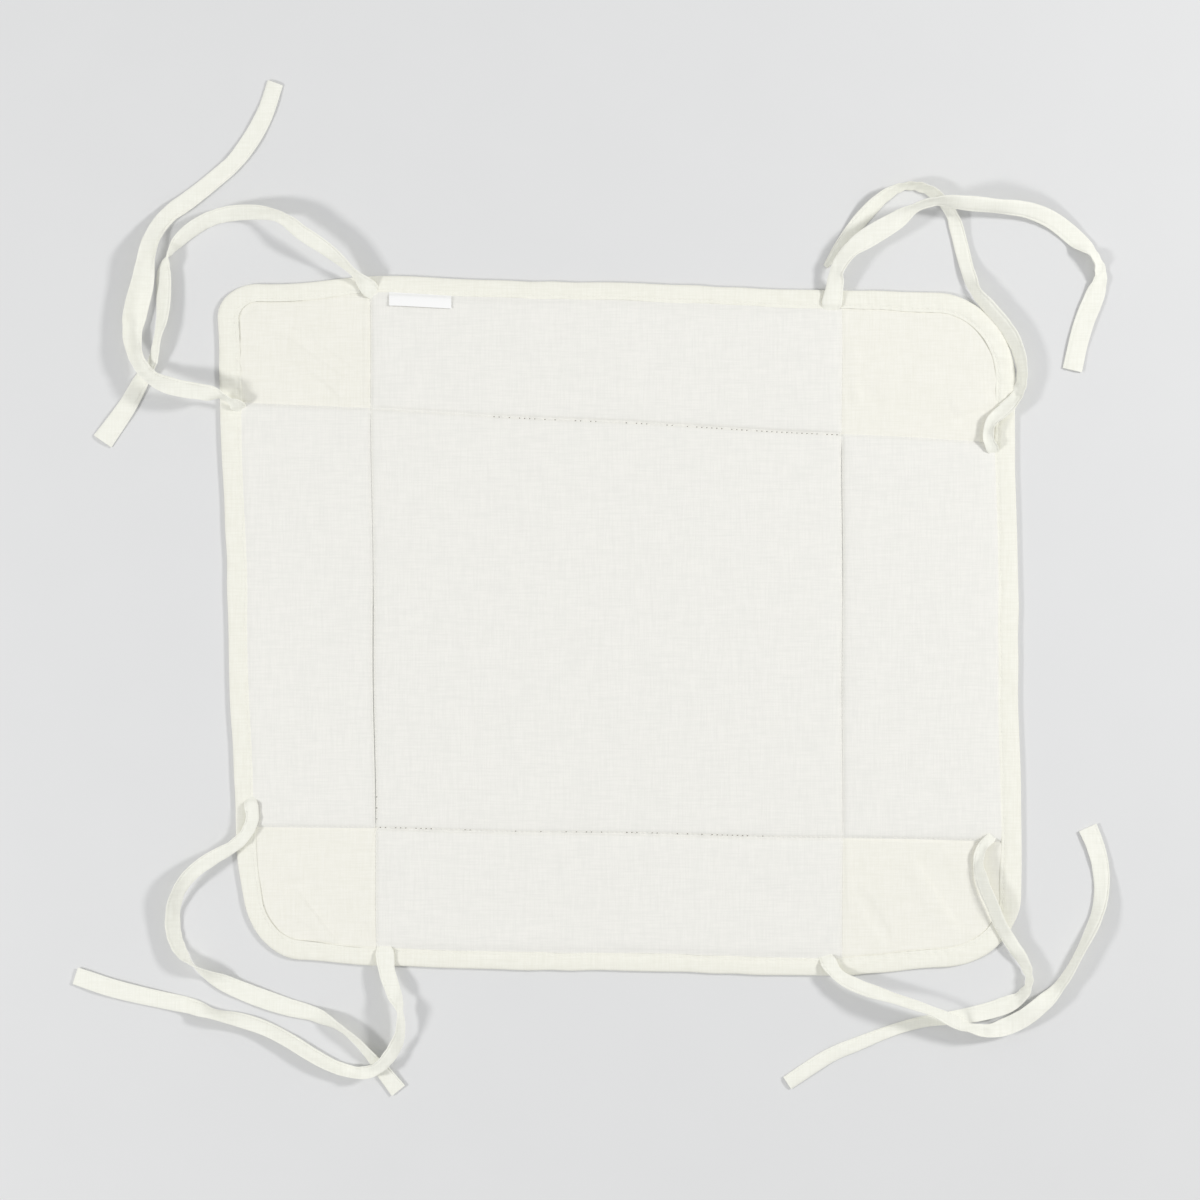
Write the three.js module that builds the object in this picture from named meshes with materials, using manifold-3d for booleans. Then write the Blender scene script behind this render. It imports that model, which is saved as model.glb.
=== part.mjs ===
// A tie-corner fabric basket, laid out open and flat.
// Two cloths are sewn together along four fold lines, which part them into a base, four sides
// and four corner squares. The base and the sides hold a stiffener; the corner squares don't.
// A binding wraps the rim, and a tie is sewn to it at both ends of every fold line.
// Units are millimetres, +Z is up, and the origin is under the middle of the cloth.
import * as THREE from "three";
import { mergeVertices } from "three/addons/utils/BufferGeometryUtils.js";
import Module from "manifold-3d";

const wasm = await Module();
wasm.setup();

// Driving dimensions
const BASE_LENGTH = 213; // between the west and east fold lines
const BASE_WIDTH = 187; // between the south and north fold lines
const SIDE_HEIGHT = { north: 63, south: 62.5, west: 66, east: 80 };
const CORNER_RADIUS = { ne: 36, nw: 18, se: 36, sw: 28 };
const BINDING_WIDTH = 9;
const CLOTH = 0.4; // one cloth, and one leaf of the folded binding
const CORE = 2.3; // the stiffener's thickness
const PLY_GAP = 0.25; // between cloths, stiffener and binding
const RIM_LIFT = 0.1; // from the floor to the binding's lower leaf
const EAR_CLEARANCE = 0.15; // from a folded corner half to the plane where the two halves meet
const SEAM_CLEARANCE = 0.15; // between neighbours when a seam is folded to its limit
const DIAGONAL_GAP = 0.3; // from a corner half to the diagonal crease
const SHOULDER = 3; // how far in from its edge a panel takes to reach its full thickness
const HEEL = 1.5; // the same on the underside
const LEDGE = 1; // sewn margin round a stiffener's pocket
const CORE_INSET = 2.2; // from a panel's edge to the stiffener
const CORE_CHAMFER = 1.8;
const TIE_WIDTH = 9.5;
const TIE_THICKNESS = 1;
const TIE_STEPS = 36;
const LABEL = { length: 28, width: 6.8, thickness: 0.3, start: 8.5, gap: 0.4 };
const ARC_STEPS = 9; // straight lines in each rounded corner

const CLOTH_COLOUR = 0xf3f1e8;
const SHELL_COLOUR = 0xefece0;
const CORNER_COLOUR = 0xf5f2e6;
const BINDING_COLOUR = 0xf0eee2;
const CORE_COLOUR = 0xd9d6cc;
const LABEL_COLOUR = 0xfcfbf8;

const UP = new THREE.Vector3(0, 0, 1);

// Heights of the plies at the rim, from the floor up
const LEAF_TOP = RIM_LIFT + CLOTH;
const SHELL_LOW = LEAF_TOP + PLY_GAP;
const SHELL_HIGH = SHELL_LOW + CLOTH;
const LINING_LOW = SHELL_HIGH + PLY_GAP;
const LINING_HIGH = LINING_LOW + CLOTH;
const SLOT_HIGH = LINING_HIGH + PLY_GAP;
const RIM_HIGH = SLOT_HIGH + CLOTH;
const HINGE_HEIGHT = RIM_HIGH + EAR_CLEARANCE; // every fold line's axis
const PANEL_HIGH = 2 * (CLOTH + PLY_GAP) + CORE;

// A corner half folds down by 45 degrees, so each neighbour keeps inside half of what is left
const FOLD_SLOPE = Math.tan(Math.PI / 8);
const SEAM_SETBACK = (HINGE_HEIGHT - SHELL_LOW) * FOLD_SLOPE + SEAM_CLEARANCE;
const BINDING_SETBACK = (HINGE_HEIGHT - RIM_LIFT) * FOLD_SLOPE + SEAM_CLEARANCE;
const LIP = CLOTH + PLY_GAP; // from the rim to the cloths inside the binding

// Plan: the rim and the fold lines
const LENGTH = SIDE_HEIGHT.west + BASE_LENGTH + SIDE_HEIGHT.east;
const WIDTH = SIDE_HEIGHT.south + BASE_WIDTH + SIDE_HEIGHT.north;
const RIM = { west: -LENGTH / 2, east: LENGTH / 2, south: -WIDTH / 2, north: WIDTH / 2 };
const FOLD = {
  west: RIM.west + SIDE_HEIGHT.west,
  east: RIM.east - SIDE_HEIGHT.east,
  south: RIM.south + SIDE_HEIGHT.south,
  north: RIM.north - SIDE_HEIGHT.north,
};
const OUTWARD = { west: -1, east: 1, south: -1, north: 1 };
const CORNERS = [
  { name: "ne", across: "east", along: "north" },
  { name: "nw", across: "west", along: "north" },
  { name: "se", across: "east", along: "south" },
  { name: "sw", across: "west", along: "south" },
];

// Solids from three.js geometries
function solidOf(geometry) {
  const bare = geometry.clone();
  bare.deleteAttribute("normal");
  bare.deleteAttribute("uv");
  const merged = mergeVertices(bare, 1e-5);
  const vertProperties = merged.attributes.position.array;
  const triVerts = Uint32Array.from(merged.index.array);
  return new wasm.Manifold(new wasm.Mesh({ numProp: 3, vertProperties, triVerts }));
}

function geometryOf(solid) {
  const { vertProperties, triVerts } = solid.getMesh();
  const indexed = new THREE.BufferGeometry();
  indexed.setAttribute("position", new THREE.BufferAttribute(vertProperties, 3));
  indexed.setIndex(new THREE.BufferAttribute(triVerts, 1));
  const faceted = indexed.toNonIndexed();
  faceted.computeVertexNormals();
  return faceted;
}

function slab(shape, low, high) {
  const options = { depth: high - low, bevelEnabled: false, curveSegments: ARC_STEPS };
  return solidOf(new THREE.ExtrudeGeometry(shape, options).translate(0, 0, low));
}

// A slab whose upper and lower edges are chamfered by run sideways and rise in height
function chamfered(shape, low, high, rise, run) {
  const options = {
    depth: high - low - 2 * rise,
    bevelEnabled: true,
    bevelThickness: rise,
    bevelSize: run,
    bevelOffset: -run,
    bevelSegments: 1,
  };
  return solidOf(new THREE.ExtrudeGeometry(shape, options).translate(0, 0, low + rise));
}

// Outlines
function polygon(corners) {
  return new THREE.Shape(corners.map(([x, y]) => new THREE.Vector2(x, y)));
}

function rectangle({ west, east, south, north }) {
  return polygon([[west, south], [east, south], [east, north], [west, north]]);
}

function shrunk({ west, east, south, north }, inset) {
  return { west: west + inset, east: east - inset, south: south + inset, north: north - inset };
}

// The rim's outline, moved in by an inset
function rimOutline(inset) {
  const { west, east, south, north } = shrunk(RIM, inset);
  const round = (corner) => CORNER_RADIUS[corner] - inset;
  const quarter = Math.PI / 2;
  const shape = new THREE.Shape();
  shape.moveTo(west + round("sw"), south);
  shape.lineTo(east - round("se"), south);
  shape.absarc(east - round("se"), south + round("se"), round("se"), -quarter, 0);
  shape.lineTo(east, north - round("ne"));
  shape.absarc(east - round("ne"), north - round("ne"), round("ne"), 0, quarter);
  shape.lineTo(west + round("nw"), north);
  shape.absarc(west + round("nw"), north - round("nw"), round("nw"), quarter, 2 * quarter);
  shape.lineTo(west, south + round("sw"));
  shape.absarc(west + round("sw"), south + round("sw"), round("sw"), 2 * quarter, 3 * quarter);
  return shape;
}

// The box in plan that one side fills, back from its fold line and its two neighbours by a setback
function sideCell(side, setback) {
  const reach = shrunk(FOLD, setback);
  const out = OUTWARD[side];
  const opposite = { north: "south", south: "north", east: "west", west: "east" }[side];
  reach[side] = RIM[side] + out;
  reach[opposite] = FOLD[side] + out * setback;
  return reach;
}

// The outline in plan of one half of a corner square, on the fold line of the side it hangs from
function cornerCell(corner, side, setback) {
  const reach = 2 * Math.max(...Object.values(SIDE_HEIGHT));
  const start = setback + DIAGONAL_GAP * Math.SQRT2;
  const onSide = [[setback, start], [setback, reach], [reach - start, reach]];
  return polygon(
    onSide.map(([away, out]) => {
      const [u, v] = side === corner.along ? [away, out] : [out, away];
      const x = FOLD[corner.across] + OUTWARD[corner.across] * u;
      const y = FOLD[corner.along] + OUTWARD[corner.along] * v;
      return [x, y];
    }),
  );
}

// The cloth over a padded panel: full thickness inside its shoulder, with a pocket beneath it
function paddedLining(reach) {
  const outer = chamfered(
    rectangle(reach),
    2 * LINING_LOW - PANEL_HIGH,
    PANEL_HIGH,
    PANEL_HIGH - LINING_HIGH,
    SHOULDER,
  );
  const ceiling = PANEL_HIGH - CLOTH;
  const pocket = chamfered(
    rectangle(shrunk(reach, LEDGE)),
    2 * LINING_LOW - ceiling,
    ceiling,
    ceiling - LINING_LOW - PLY_GAP / 2,
    SHOULDER + CLOTH - LEDGE + PLY_GAP / 2,
  );
  return { cover: outer.intersect(slab(rectangle(reach), LINING_LOW, PANEL_HIGH)), pocket };
}

function paddedShell(reach) {
  const outer = chamfered(rectangle(reach), 0, 2 * SHELL_HIGH, SHELL_LOW, HEEL);
  const pocket = chamfered(
    rectangle(shrunk(reach, LEDGE)),
    CLOTH,
    2 * SHELL_HIGH - CLOTH,
    SHELL_HIGH - CLOTH - PLY_GAP / 2,
    HEEL + CLOTH - LEDGE + PLY_GAP / 2,
  );
  return { cover: outer.intersect(slab(rectangle(reach), 0, SHELL_HIGH)), pocket };
}

function stiffener(reach) {
  const low = CLOTH + PLY_GAP;
  const rise = (CORE - PLY_GAP) / 2;
  return chamfered(rectangle(shrunk(reach, CORE_INSET)), low, low + CORE, rise, CORE_CHAMFER);
}

// The folded binding all round the rim, with the slot that takes both cloths
function bindingRing() {
  const band = slab(rimOutline(0), RIM_LIFT, RIM_HIGH);
  const inside = slab(rimOutline(BINDING_WIDTH), RIM_LIFT - 1, RIM_HIGH + 1);
  const slot = slab(rimOutline(CLOTH), LEAF_TOP, SLOT_HIGH);
  return band.subtract(inside).subtract(slot);
}

// Meshes
const finishes = {
  lining: [CLOTH_COLOUR, 0.92],
  shell: [SHELL_COLOUR, 0.93],
  corner: [CORNER_COLOUR, 0.9],
  binding: [BINDING_COLOUR, 0.88],
  core: [CORE_COLOUR, 0.97],
  label: [LABEL_COLOUR, 0.45],
};

function meshOf(name, geometry, finish) {
  const [color, roughness] = finishes[finish];
  const material = new THREE.MeshStandardMaterial({ color, roughness, metalness: 0 });
  const mesh = new THREE.Mesh(geometry, material);
  mesh.name = name;
  return mesh;
}

function solidMesh(name, solid, finish) {
  return meshOf(name, geometryOf(solid), finish);
}

function baseGroup() {
  const reach = shrunk(FOLD, SEAM_SETBACK);
  const lining = paddedLining(reach);
  const shell = paddedShell(reach);
  const group = new THREE.Group();
  group.add(
    solidMesh("base_lining", lining.cover.subtract(lining.pocket), "lining"),
    solidMesh("base_shell", shell.cover.subtract(shell.pocket), "shell"),
    solidMesh("base_stiffener", stiffener(reach), "core"),
  );
  return group;
}

function sideGroup(side, ring) {
  const cell = sideCell(side, SEAM_SETBACK);
  const padded = { ...cell };
  padded[side] = RIM[side] - OUTWARD[side] * (BINDING_WIDTH + PLY_GAP);
  const flange = { ...cell };
  flange[side] = RIM[side] - OUTWARD[side] * LIP;
  const lining = paddedLining(padded);
  const shell = paddedShell(padded);
  const upper = slab(rectangle(flange), LINING_LOW, LINING_HIGH).add(lining.cover);
  const lower = slab(rectangle(flange), SHELL_LOW, SHELL_HIGH).add(shell.cover);
  const bound = slab(rectangle(sideCell(side, BINDING_SETBACK)), -1, RIM_HIGH + 1);
  const group = new THREE.Group();
  group.add(
    solidMesh(`side_${side}_lining`, upper.subtract(lining.pocket), "lining"),
    solidMesh(`side_${side}_shell`, lower.subtract(shell.pocket), "shell"),
    solidMesh(`side_${side}_stiffener`, stiffener(padded), "core"),
    solidMesh(`side_${side}_binding`, ring.intersect(bound), "binding"),
  );
  return group;
}

function cornerHalfGroup(corner, side, ring) {
  const name = `corner_${corner.name}_${side}`;
  const cut = slab(cornerCell(corner, side, SEAM_SETBACK), -1, RIM_HIGH + 1);
  const bound = slab(cornerCell(corner, side, BINDING_SETBACK), -1, RIM_HIGH + 1);
  const lining = slab(rimOutline(LIP), LINING_LOW, LINING_HIGH);
  const shell = slab(rimOutline(LIP), SHELL_LOW, SHELL_HIGH);
  const group = new THREE.Group();
  group.add(
    solidMesh(`${name}_lining`, lining.intersect(cut), "corner"),
    solidMesh(`${name}_shell`, shell.intersect(cut), "shell"),
    solidMesh(`${name}_binding`, ring.intersect(bound), "binding"),
  );
  return group;
}

// A small blank label, sewn down beside the west end of the north binding
function labelMesh() {
  const { length, width, thickness, start, gap } = LABEL;
  const geometry = new THREE.BoxGeometry(length, width, thickness);
  const x = FOLD.west + start + length / 2;
  const y = RIM.north - BINDING_WIDTH - gap - width / 2;
  geometry.translate(x, y, PANEL_HIGH + PLY_GAP + thickness / 2);
  return meshOf("label", geometry, "label");
}

// Ties: flat tapes that lie free on the floor. Each list runs from the seam to the loose end.
const TIE_ROUTES = {
  tie_nw_north: [
    [-114.5, 153, 3.5], [-123, 161.5, 6.5], [-134, 171.5, 9.5], [-146, 179.5, 10.5],
    [-156.5, 187, 9.5], [-169, 189, 6.5], [-184, 187, 2.6], [-195.5, 180.5, 0.9],
    [-205, 171.5, 0.8], [-208, 164, 0.8], [-208.5, 153, 0.8], [-209.5, 140.5, 0.8],
    [-211.5, 131.5, 0.8], [-214, 120.5, 0.8], [-219, 112, 0.8], [-225, 101.5, 0.8],
    [-232, 91, 0.8], [-236.5, 84.5, 0.8],
  ],
  tie_nw_west: [
    [-173.5, 99, 3.5], [-181, 104.5, 7.5], [-191, 107, 12.5], [-204, 109.5, 13], [-215, 114, 9],
    [-221.5, 122.5, 5], [-223.5, 133, 3.2], [-221.5, 144.5, 2.6], [-218.5, 157, 2.6],
    [-216.5, 168, 2.6], [-213, 178.5, 2.6], [-207, 187, 2.2], [-198, 194, 1.2],
    [-186.5, 203, 0.8], [-176.5, 211.5, 0.8], [-169, 222, 0.8], [-163, 233.5, 0.8],
    [-158, 247.5, 0.8],
  ],
  tie_ne_north: [
    [95, 148.5, 3.6], [96, 154.5, 4.6], [97.5, 163, 7], [103, 171, 8.5], [112.5, 178, 10],
    [123.5, 185, 11.5], [132.5, 191, 12.5], [142, 194, 13], [155, 193, 12], [170.5, 191.5, 8.5],
    [184, 189.5, 4.5], [195, 185, 2], [205.5, 177, 0.9], [214, 168, 0.8], [216.5, 159.5, 0.8],
    [214, 150, 0.8], [210, 139.5, 0.8], [206.5, 127.5, 0.8], [204, 117, 0.8],
  ],
  tie_ne_east: [
    [169, 79, 4.6], [166.2, 86, 5], [167.5, 93, 5.2], [174, 99.5, 4.6], [179.5, 106, 3.8],
    [181.5, 114.5, 3.6], [180, 124.5, 3.6], [175, 135, 3.6], [167.5, 144, 3.6],
    [160.5, 152.5, 3.6], [157, 161, 2.6], [154.5, 170.5, 1.2], [152, 180, 0.8],
    [149, 188.5, 0.8], [143.5, 195.5, 0.8], [136, 200, 0.8], [127.5, 200.5, 0.8],
    [119.5, 196.5, 0.8], [112.5, 190, 0.8], [105.5, 182, 0.8], [98.5, 173, 0.8],
    [92, 164, 0.8],
  ],
  tie_sw_west: [
    [-169.5, -79, 4.6], [-168.5, -87, 4.6], [-171.5, -94, 4.4], [-177.5, -99.5, 5.5],
    [-186.5, -104.5, 7.5], [-195.5, -111, 8.5], [-202, -119.5, 6.5], [-205, -130, 3.6],
    [-204, -140.5, 1.4], [-199.5, -149, 0.8], [-192, -155.5, 0.8], [-181, -161.5, 0.8],
    [-168, -167, 0.8], [-153, -172.5, 0.8], [-140, -176, 0.8], [-130.5, -180.5, 0.8],
    [-122, -187, 0.8], [-114.5, -195, 0.8], [-108.5, -202.5, 0.8], [-102, -210.5, 0.8],
  ],
  tie_sw_south: [
    [-108.5, -148.5, 3.6], [-107.5, -156, 4.6], [-104.5, -165, 6.5], [-101.5, -174, 7.5],
    [-101.5, -184, 7.5], [-105.5, -193.5, 6], [-112.5, -200.5, 4.4], [-121, -202.5, 3.6],
    [-130.5, -200, 2], [-140.5, -194.5, 0.8], [-151.5, -187.8, 0.8], [-163, -182, 0.8],
    [-174.5, -178, 0.8], [-186.5, -175, 0.8], [-196, -172.2, 0.8], [-207, -170, 0.8],
    [-221.5, -166.5, 0.8], [-235, -163, 0.8], [-249, -158.5, 0.8],
  ],
  tie_se_east: [
    [169, -94.5, 4.6], [163.5, -99.5, 4.2], [161.5, -107, 3.6], [163.5, -116.5, 3.6],
    [167.5, -125.5, 3.8], [171.5, -135, 4], [177, -144.5, 4], [182.5, -153, 3],
    [184.5, -161, 1.6], [180.5, -168, 0.8], [171, -172.5, 0.8], [159.5, -175.5, 0.8],
    [148.5, -177.5, 0.8], [138, -179, 0.8], [127.5, -181.5, 0.8], [117, -185, 0.8],
    [106, -189.5, 0.8], [95.5, -194, 0.8], [84.5, -200.5, 0.8], [74.5, -207, 0.8],
  ],
  tie_se_south: [
    [91.5, -149.5, 3.6], [97.5, -158, 5.5], [107, -163, 8], [117.5, -166.5, 10],
    [128, -170, 11], [139.5, -174, 10.5], [150, -178.8, 8.5], [158.5, -182.5, 6.5],
    [166, -183.5, 5], [174, -181.5, 3.8], [181.5, -177.5, 2.8], [189.5, -171, 2.4],
    [197, -164, 1.2], [202.5, -156, 0.8], [207, -147.5, 0.8], [211.5, -138.5, 0.8],
    [215.5, -129, 0.8], [217.5, -118.5, 0.8], [217, -108, 0.8], [214.5, -99, 0.8],
    [211, -91, 0.8],
  ],
};

// A curve whose frames stay level, so a tape swept along it lies flat
class LevelCurve extends THREE.CatmullRomCurve3 {
  computeFrenetFrames(segments) {
    const frames = { tangents: [], normals: [], binormals: [] };
    for (let i = 0; i <= segments; i++) {
      const tangent = this.getTangentAt(i / segments).normalize();
      const across = new THREE.Vector3().crossVectors(tangent, UP);
      const binormal = across.normalize();
      const normal = new THREE.Vector3().crossVectors(binormal, tangent);
      frames.tangents.push(tangent);
      frames.normals.push(normal);
      frames.binormals.push(binormal);
    }
    return frames;
  }
}

function tieMesh(name, route) {
  const points = route.map(([x, y, z]) => new THREE.Vector3(x, y, z));
  const path = new LevelCurve(points, false, "centripetal");
  const flat = TIE_THICKNESS / 2;
  const edge = TIE_WIDTH / 2;
  const section = polygon([
    [flat, edge - flat], [flat / 2, edge], [-flat / 2, edge], [-flat, edge - flat],
    [-flat, flat - edge], [-flat / 2, -edge], [flat / 2, -edge], [flat, flat - edge],
  ]);
  const options = { steps: TIE_STEPS, extrudePath: path, bevelEnabled: false };
  return meshOf(name, new THREE.ExtrudeGeometry(section, options), "binding");
}

function basket() {
  const ring = bindingRing();
  const group = new THREE.Group();
  group.add(baseGroup());
  for (const side of Object.keys(SIDE_HEIGHT)) {
    group.add(sideGroup(side, ring));
  }
  for (const corner of CORNERS) {
    group.add(cornerHalfGroup(corner, corner.along, ring));
    group.add(cornerHalfGroup(corner, corner.across, ring));
  }
  for (const [name, route] of Object.entries(TIE_ROUTES)) {
    group.add(tieMesh(name, route));
  }
  group.add(labelMesh());
  return group;
}

export default basket();
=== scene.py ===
"""A tie-corner fabric basket laid open and flat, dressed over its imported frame.

Two cloths are sewn together along four fold lines, around felt stiffeners in the base and the sides.
A binding wraps the rim, and a tie is sewn on at both ends of every fold line.
Lengths are metres and +Z is up. MM turns a size in millimetres into metres, TAPE_COVER is how far in
from the rim the tape hides the cloth, and PAST_RIM is further out than any corner reaches.
"""

import logging
import math
from dataclasses import dataclass, field
from enum import Enum
from typing import Callable

import bpy
import numpy as np
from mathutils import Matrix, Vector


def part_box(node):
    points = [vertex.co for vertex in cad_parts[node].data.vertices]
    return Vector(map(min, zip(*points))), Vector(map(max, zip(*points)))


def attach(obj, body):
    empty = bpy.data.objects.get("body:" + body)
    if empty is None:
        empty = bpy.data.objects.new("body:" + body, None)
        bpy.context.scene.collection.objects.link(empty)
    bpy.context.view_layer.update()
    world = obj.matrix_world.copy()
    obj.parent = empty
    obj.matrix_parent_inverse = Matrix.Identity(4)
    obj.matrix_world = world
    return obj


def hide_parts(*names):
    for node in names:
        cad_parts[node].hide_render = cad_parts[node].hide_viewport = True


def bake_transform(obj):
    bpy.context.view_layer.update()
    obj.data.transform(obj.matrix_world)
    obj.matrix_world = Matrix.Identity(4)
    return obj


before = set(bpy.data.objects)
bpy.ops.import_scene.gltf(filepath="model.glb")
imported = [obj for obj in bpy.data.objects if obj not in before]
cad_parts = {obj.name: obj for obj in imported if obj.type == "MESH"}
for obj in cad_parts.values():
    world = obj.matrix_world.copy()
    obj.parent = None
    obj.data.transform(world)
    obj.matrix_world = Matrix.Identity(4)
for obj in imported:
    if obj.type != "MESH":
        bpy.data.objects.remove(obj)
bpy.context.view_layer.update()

MM = 0.001
LOG = logging.getLogger("basket")
TAPE_COVER = 9.5 * MM
BISECTIONS = 44
PAST_RIM = 0.2
Array = np.ndarray
Point = tuple[float, float, float]


def smooth(t: Array) -> Array:
    """Eases from 0 to 1 as t goes from 0 to 1.

    Args:
        t: where to read the curve, clipped to 0 to 1.

    Returns:
        The eased values.
    """
    t = np.clip(t, 0.0, 1.0)
    return t * t * (3.0 - 2.0 * t)


def swell(g: Array, reach: float) -> Array:
    """Rises from 0 at a seam towards 1 away from it.

    Args:
        g: distance from the seam.
        reach: distance in which most of the rise happens.

    Returns:
        The share of the full rise.
    """
    return 1.0 - np.exp(-np.maximum(g, 0.0) / reach)


def graded(low: float, high: float, fine: float, coarse: float, reach: float) -> Array:
    """Spaces grid lines closely at both ends and widely between.

    Args:
        low: first line.
        high: last line.
        fine: step at the ends.
        coarse: step in the middle.
        reach: distance over which the step grows.

    Returns:
        The positions of the lines, with both ends in.
    """
    found = [0.0]
    span = high - low
    while found[-1] < span:
        near = min(found[-1], span - found[-1])
        found.append(found[-1] + fine + (coarse - fine) * float(smooth(near / reach)))
    lines = np.array(found)
    return low + lines * (span / lines[-1])


class Side(Enum):
    """The four sides of the basket."""

    NORTH = "north"
    SOUTH = "south"
    WEST = "west"
    EAST = "east"

    @property
    def axis(self) -> int:
        """The plan axis that points out of the side: 0 for x, 1 for y."""
        return 0 if self in (Side.WEST, Side.EAST) else 1

    @property
    def out(self) -> int:
        """Which way along the axis is outward: 1 or -1."""
        return 1 if self in (Side.NORTH, Side.EAST) else -1

    @property
    def body(self) -> str:
        """The frame's body for this side."""
        return f"side_{self.value}"


class Corner(Enum):
    """The four corner squares, as their two sides: along (north or south) and across."""

    NE = ("ne", Side.NORTH, Side.EAST)
    NW = ("nw", Side.NORTH, Side.WEST)
    SE = ("se", Side.SOUTH, Side.EAST)
    SW = ("sw", Side.SOUTH, Side.WEST)

    @property
    def tag(self) -> str:
        """The corner's short name."""
        return self.value[0]

    @property
    def along(self) -> Side:
        """The north or south side it joins."""
        return self.value[1]

    @property
    def across(self) -> Side:
        """The west or east side it joins."""
        return self.value[2]


@dataclass(frozen=True)
class Plan:
    """The rim and the fold lines in plan, read from the frame."""

    rim: dict[Side, float]
    fold: dict[Side, float]
    radius: dict[Corner, float]

    @classmethod
    def from_frame(cls) -> "Plan":
        """Reads the plan from the frame's boxes, which don't give the corners' radii.

        Returns:
            The plan, with the radii of the part.
        """
        rim, fold = {}, {}
        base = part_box("base_lining")
        for side in Side:
            pick = 1 if side.out > 0 else 0
            rim[side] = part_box(f"side_{side.value}_binding")[pick][side.axis]
            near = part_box(f"side_{side.value}_lining")[1 - pick][side.axis]
            fold[side] = (base[pick][side.axis] + near) / 2
        radius = {
            Corner.NE: 36 * MM,
            Corner.NW: 18 * MM,
            Corner.SE: 36 * MM,
            Corner.SW: 28 * MM,
        }
        return cls(rim, fold, radius)

    def height(self, side: Side) -> float:
        """How far a side reaches out from its fold line."""
        return abs(self.rim[side] - self.fold[side])

    def ends(self, side: Side) -> tuple[float, float]:
        """Where a side's fold line starts and ends."""
        low, high = sorted(self.fold[s] for s in Side if s.axis != side.axis)
        return low, high

    def inset(self, x: Array, y: Array) -> Array:
        """How far inside the rim a place is.

        Args:
            x: plan x.
            y: plan y.

        Returns:
            Distance in from the rim, negative outside it.
        """
        edges = {
            Side.WEST: x - self.rim[Side.WEST],
            Side.EAST: self.rim[Side.EAST] - x,
            Side.SOUTH: y - self.rim[Side.SOUTH],
            Side.NORTH: self.rim[Side.NORTH] - y,
        }
        found = np.minimum.reduce(list(edges.values()))
        for corner, r in self.radius.items():
            u, v = edges[corner.across], edges[corner.along]
            arc = (u < r) & (v < r)
            found = np.where(arc, r - np.hypot(r - u, r - v), found)
        return found


@dataclass(frozen=True)
class Wrinkle:
    """A soft ridge or hollow, placed by its distances out from the base's corner, in millimetres.

    Height is negative for a hollow. Lean widens one flank and narrows the other.
    """

    start: tuple[float, float]
    end: tuple[float, float]
    width: float
    height: float
    lean: float = 0.0

    def lift(self, x: Array, y: Array) -> Array:
        """How much the wrinkle raises the cloth.

        Args:
            x: distance out from the base's corner, along x.
            y: distance out from the base's corner, along y.

        Returns:
            The change in height.
        """
        a, b = np.array(self.start) * MM, np.array(self.end) * MM
        d = (b - a) / np.linalg.norm(b - a)
        along = (x - a[0]) * d[0] + (y - a[1]) * d[1]
        across = (x - a[0]) * -d[1] + (y - a[1]) * d[0]
        share = along / np.linalg.norm(b - a)
        ends = smooth(share / 0.35 + 0.35) * smooth((1 - share) / 0.35 + 0.35)
        flank = self.width * MM * (1 + self.lean * np.sign(across))
        return self.height * MM * ends * np.exp(-((across / flank) ** 2))


WRINKLES: dict[Corner, tuple[Wrinkle, ...]] = {
    Corner.NW: (
        Wrinkle((42.5, 44.8), (8.5, 21.8), 2.6, -0.55, 0.35),
        Wrinkle((44.5, 38.8), (12.5, 15.8), 3.4, 0.4),
        Wrinkle((33.5, 22.8), (16.5, 9.8), 2.6, -0.35),
        Wrinkle((20.5, 20.8), (10.5, 7.8), 2.2, 0.32),
        Wrinkle((60.5, 48.8), (53.5, 53.8), 1.4, -0.6),
        Wrinkle((3.1, 5.8), (3.1, 52.8), 1.0, 0.4),
    ),
    Corner.NE: (
        Wrinkle((4.5, 18.8), (18.5, 7.8), 3.0, -0.25),
        Wrinkle((4.5, 34.8), (6.5, 7.8), 2.6, 0.3),
        Wrinkle((50.5, 6.8), (65.5, 14.8), 5.0, 0.5),
        Wrinkle((52.5, -1.2), (67.5, 6.8), 3.0, -0.35),
        Wrinkle((-1.5, 49.8), (0, 30.8), 0.8, -0.6),
    ),
    Corner.SW: (
        Wrinkle((50.5, 22.8), (32.5, 23.2), 1.6, -0.55, 0.3),
        Wrinkle((33.5, 23.2), (11.5, 52.2), 3.2, -0.7, 0.45),
        Wrinkle((37.5, 26.2), (17.5, 53.2), 2.4, 0.45),
        Wrinkle((4.5, 40.2), (2.5, 52.2), 1.6, -0.4),
        Wrinkle((41.5, 34.2), (25.5, 39.2), 3.0, 0.25),
        Wrinkle((-1.5, -0.8), (0, 9.2), 0.8, -0.7),
    ),
    Corner.SE: (
        Wrinkle((8.5, 27.2), (21.5, 49.2), 2.4, -0.4),
        Wrinkle((36.5, 12.2), (56.5, 42.2), 4.6, -0.7, -0.4),
        Wrinkle((30.5, 12.2), (47.5, 42.2), 4.0, 0.4),
        Wrinkle((2.5, 4.2), (3.1, 34.2), 1.2, 0.45),
        Wrinkle((-2.5, 20.2), (-3, 52.2), 1.2, -0.35),
        Wrinkle((58.5, -1.8), (46.5, 6.2), 2.4, -0.45),
    ),
}


# Where each fold line is nipped deepest: from and to as shares of the line, and extra depth in mm
NIPS: dict[Side, tuple[float, float, float]] = {
    Side.WEST: (0.0, 0.57, 0.36),
    Side.EAST: (0.6, 0.98, 0.2),
    Side.NORTH: (0.25, 1.0, 0.2),
    Side.SOUTH: (0.0, 1.0, 0.2),
}


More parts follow.
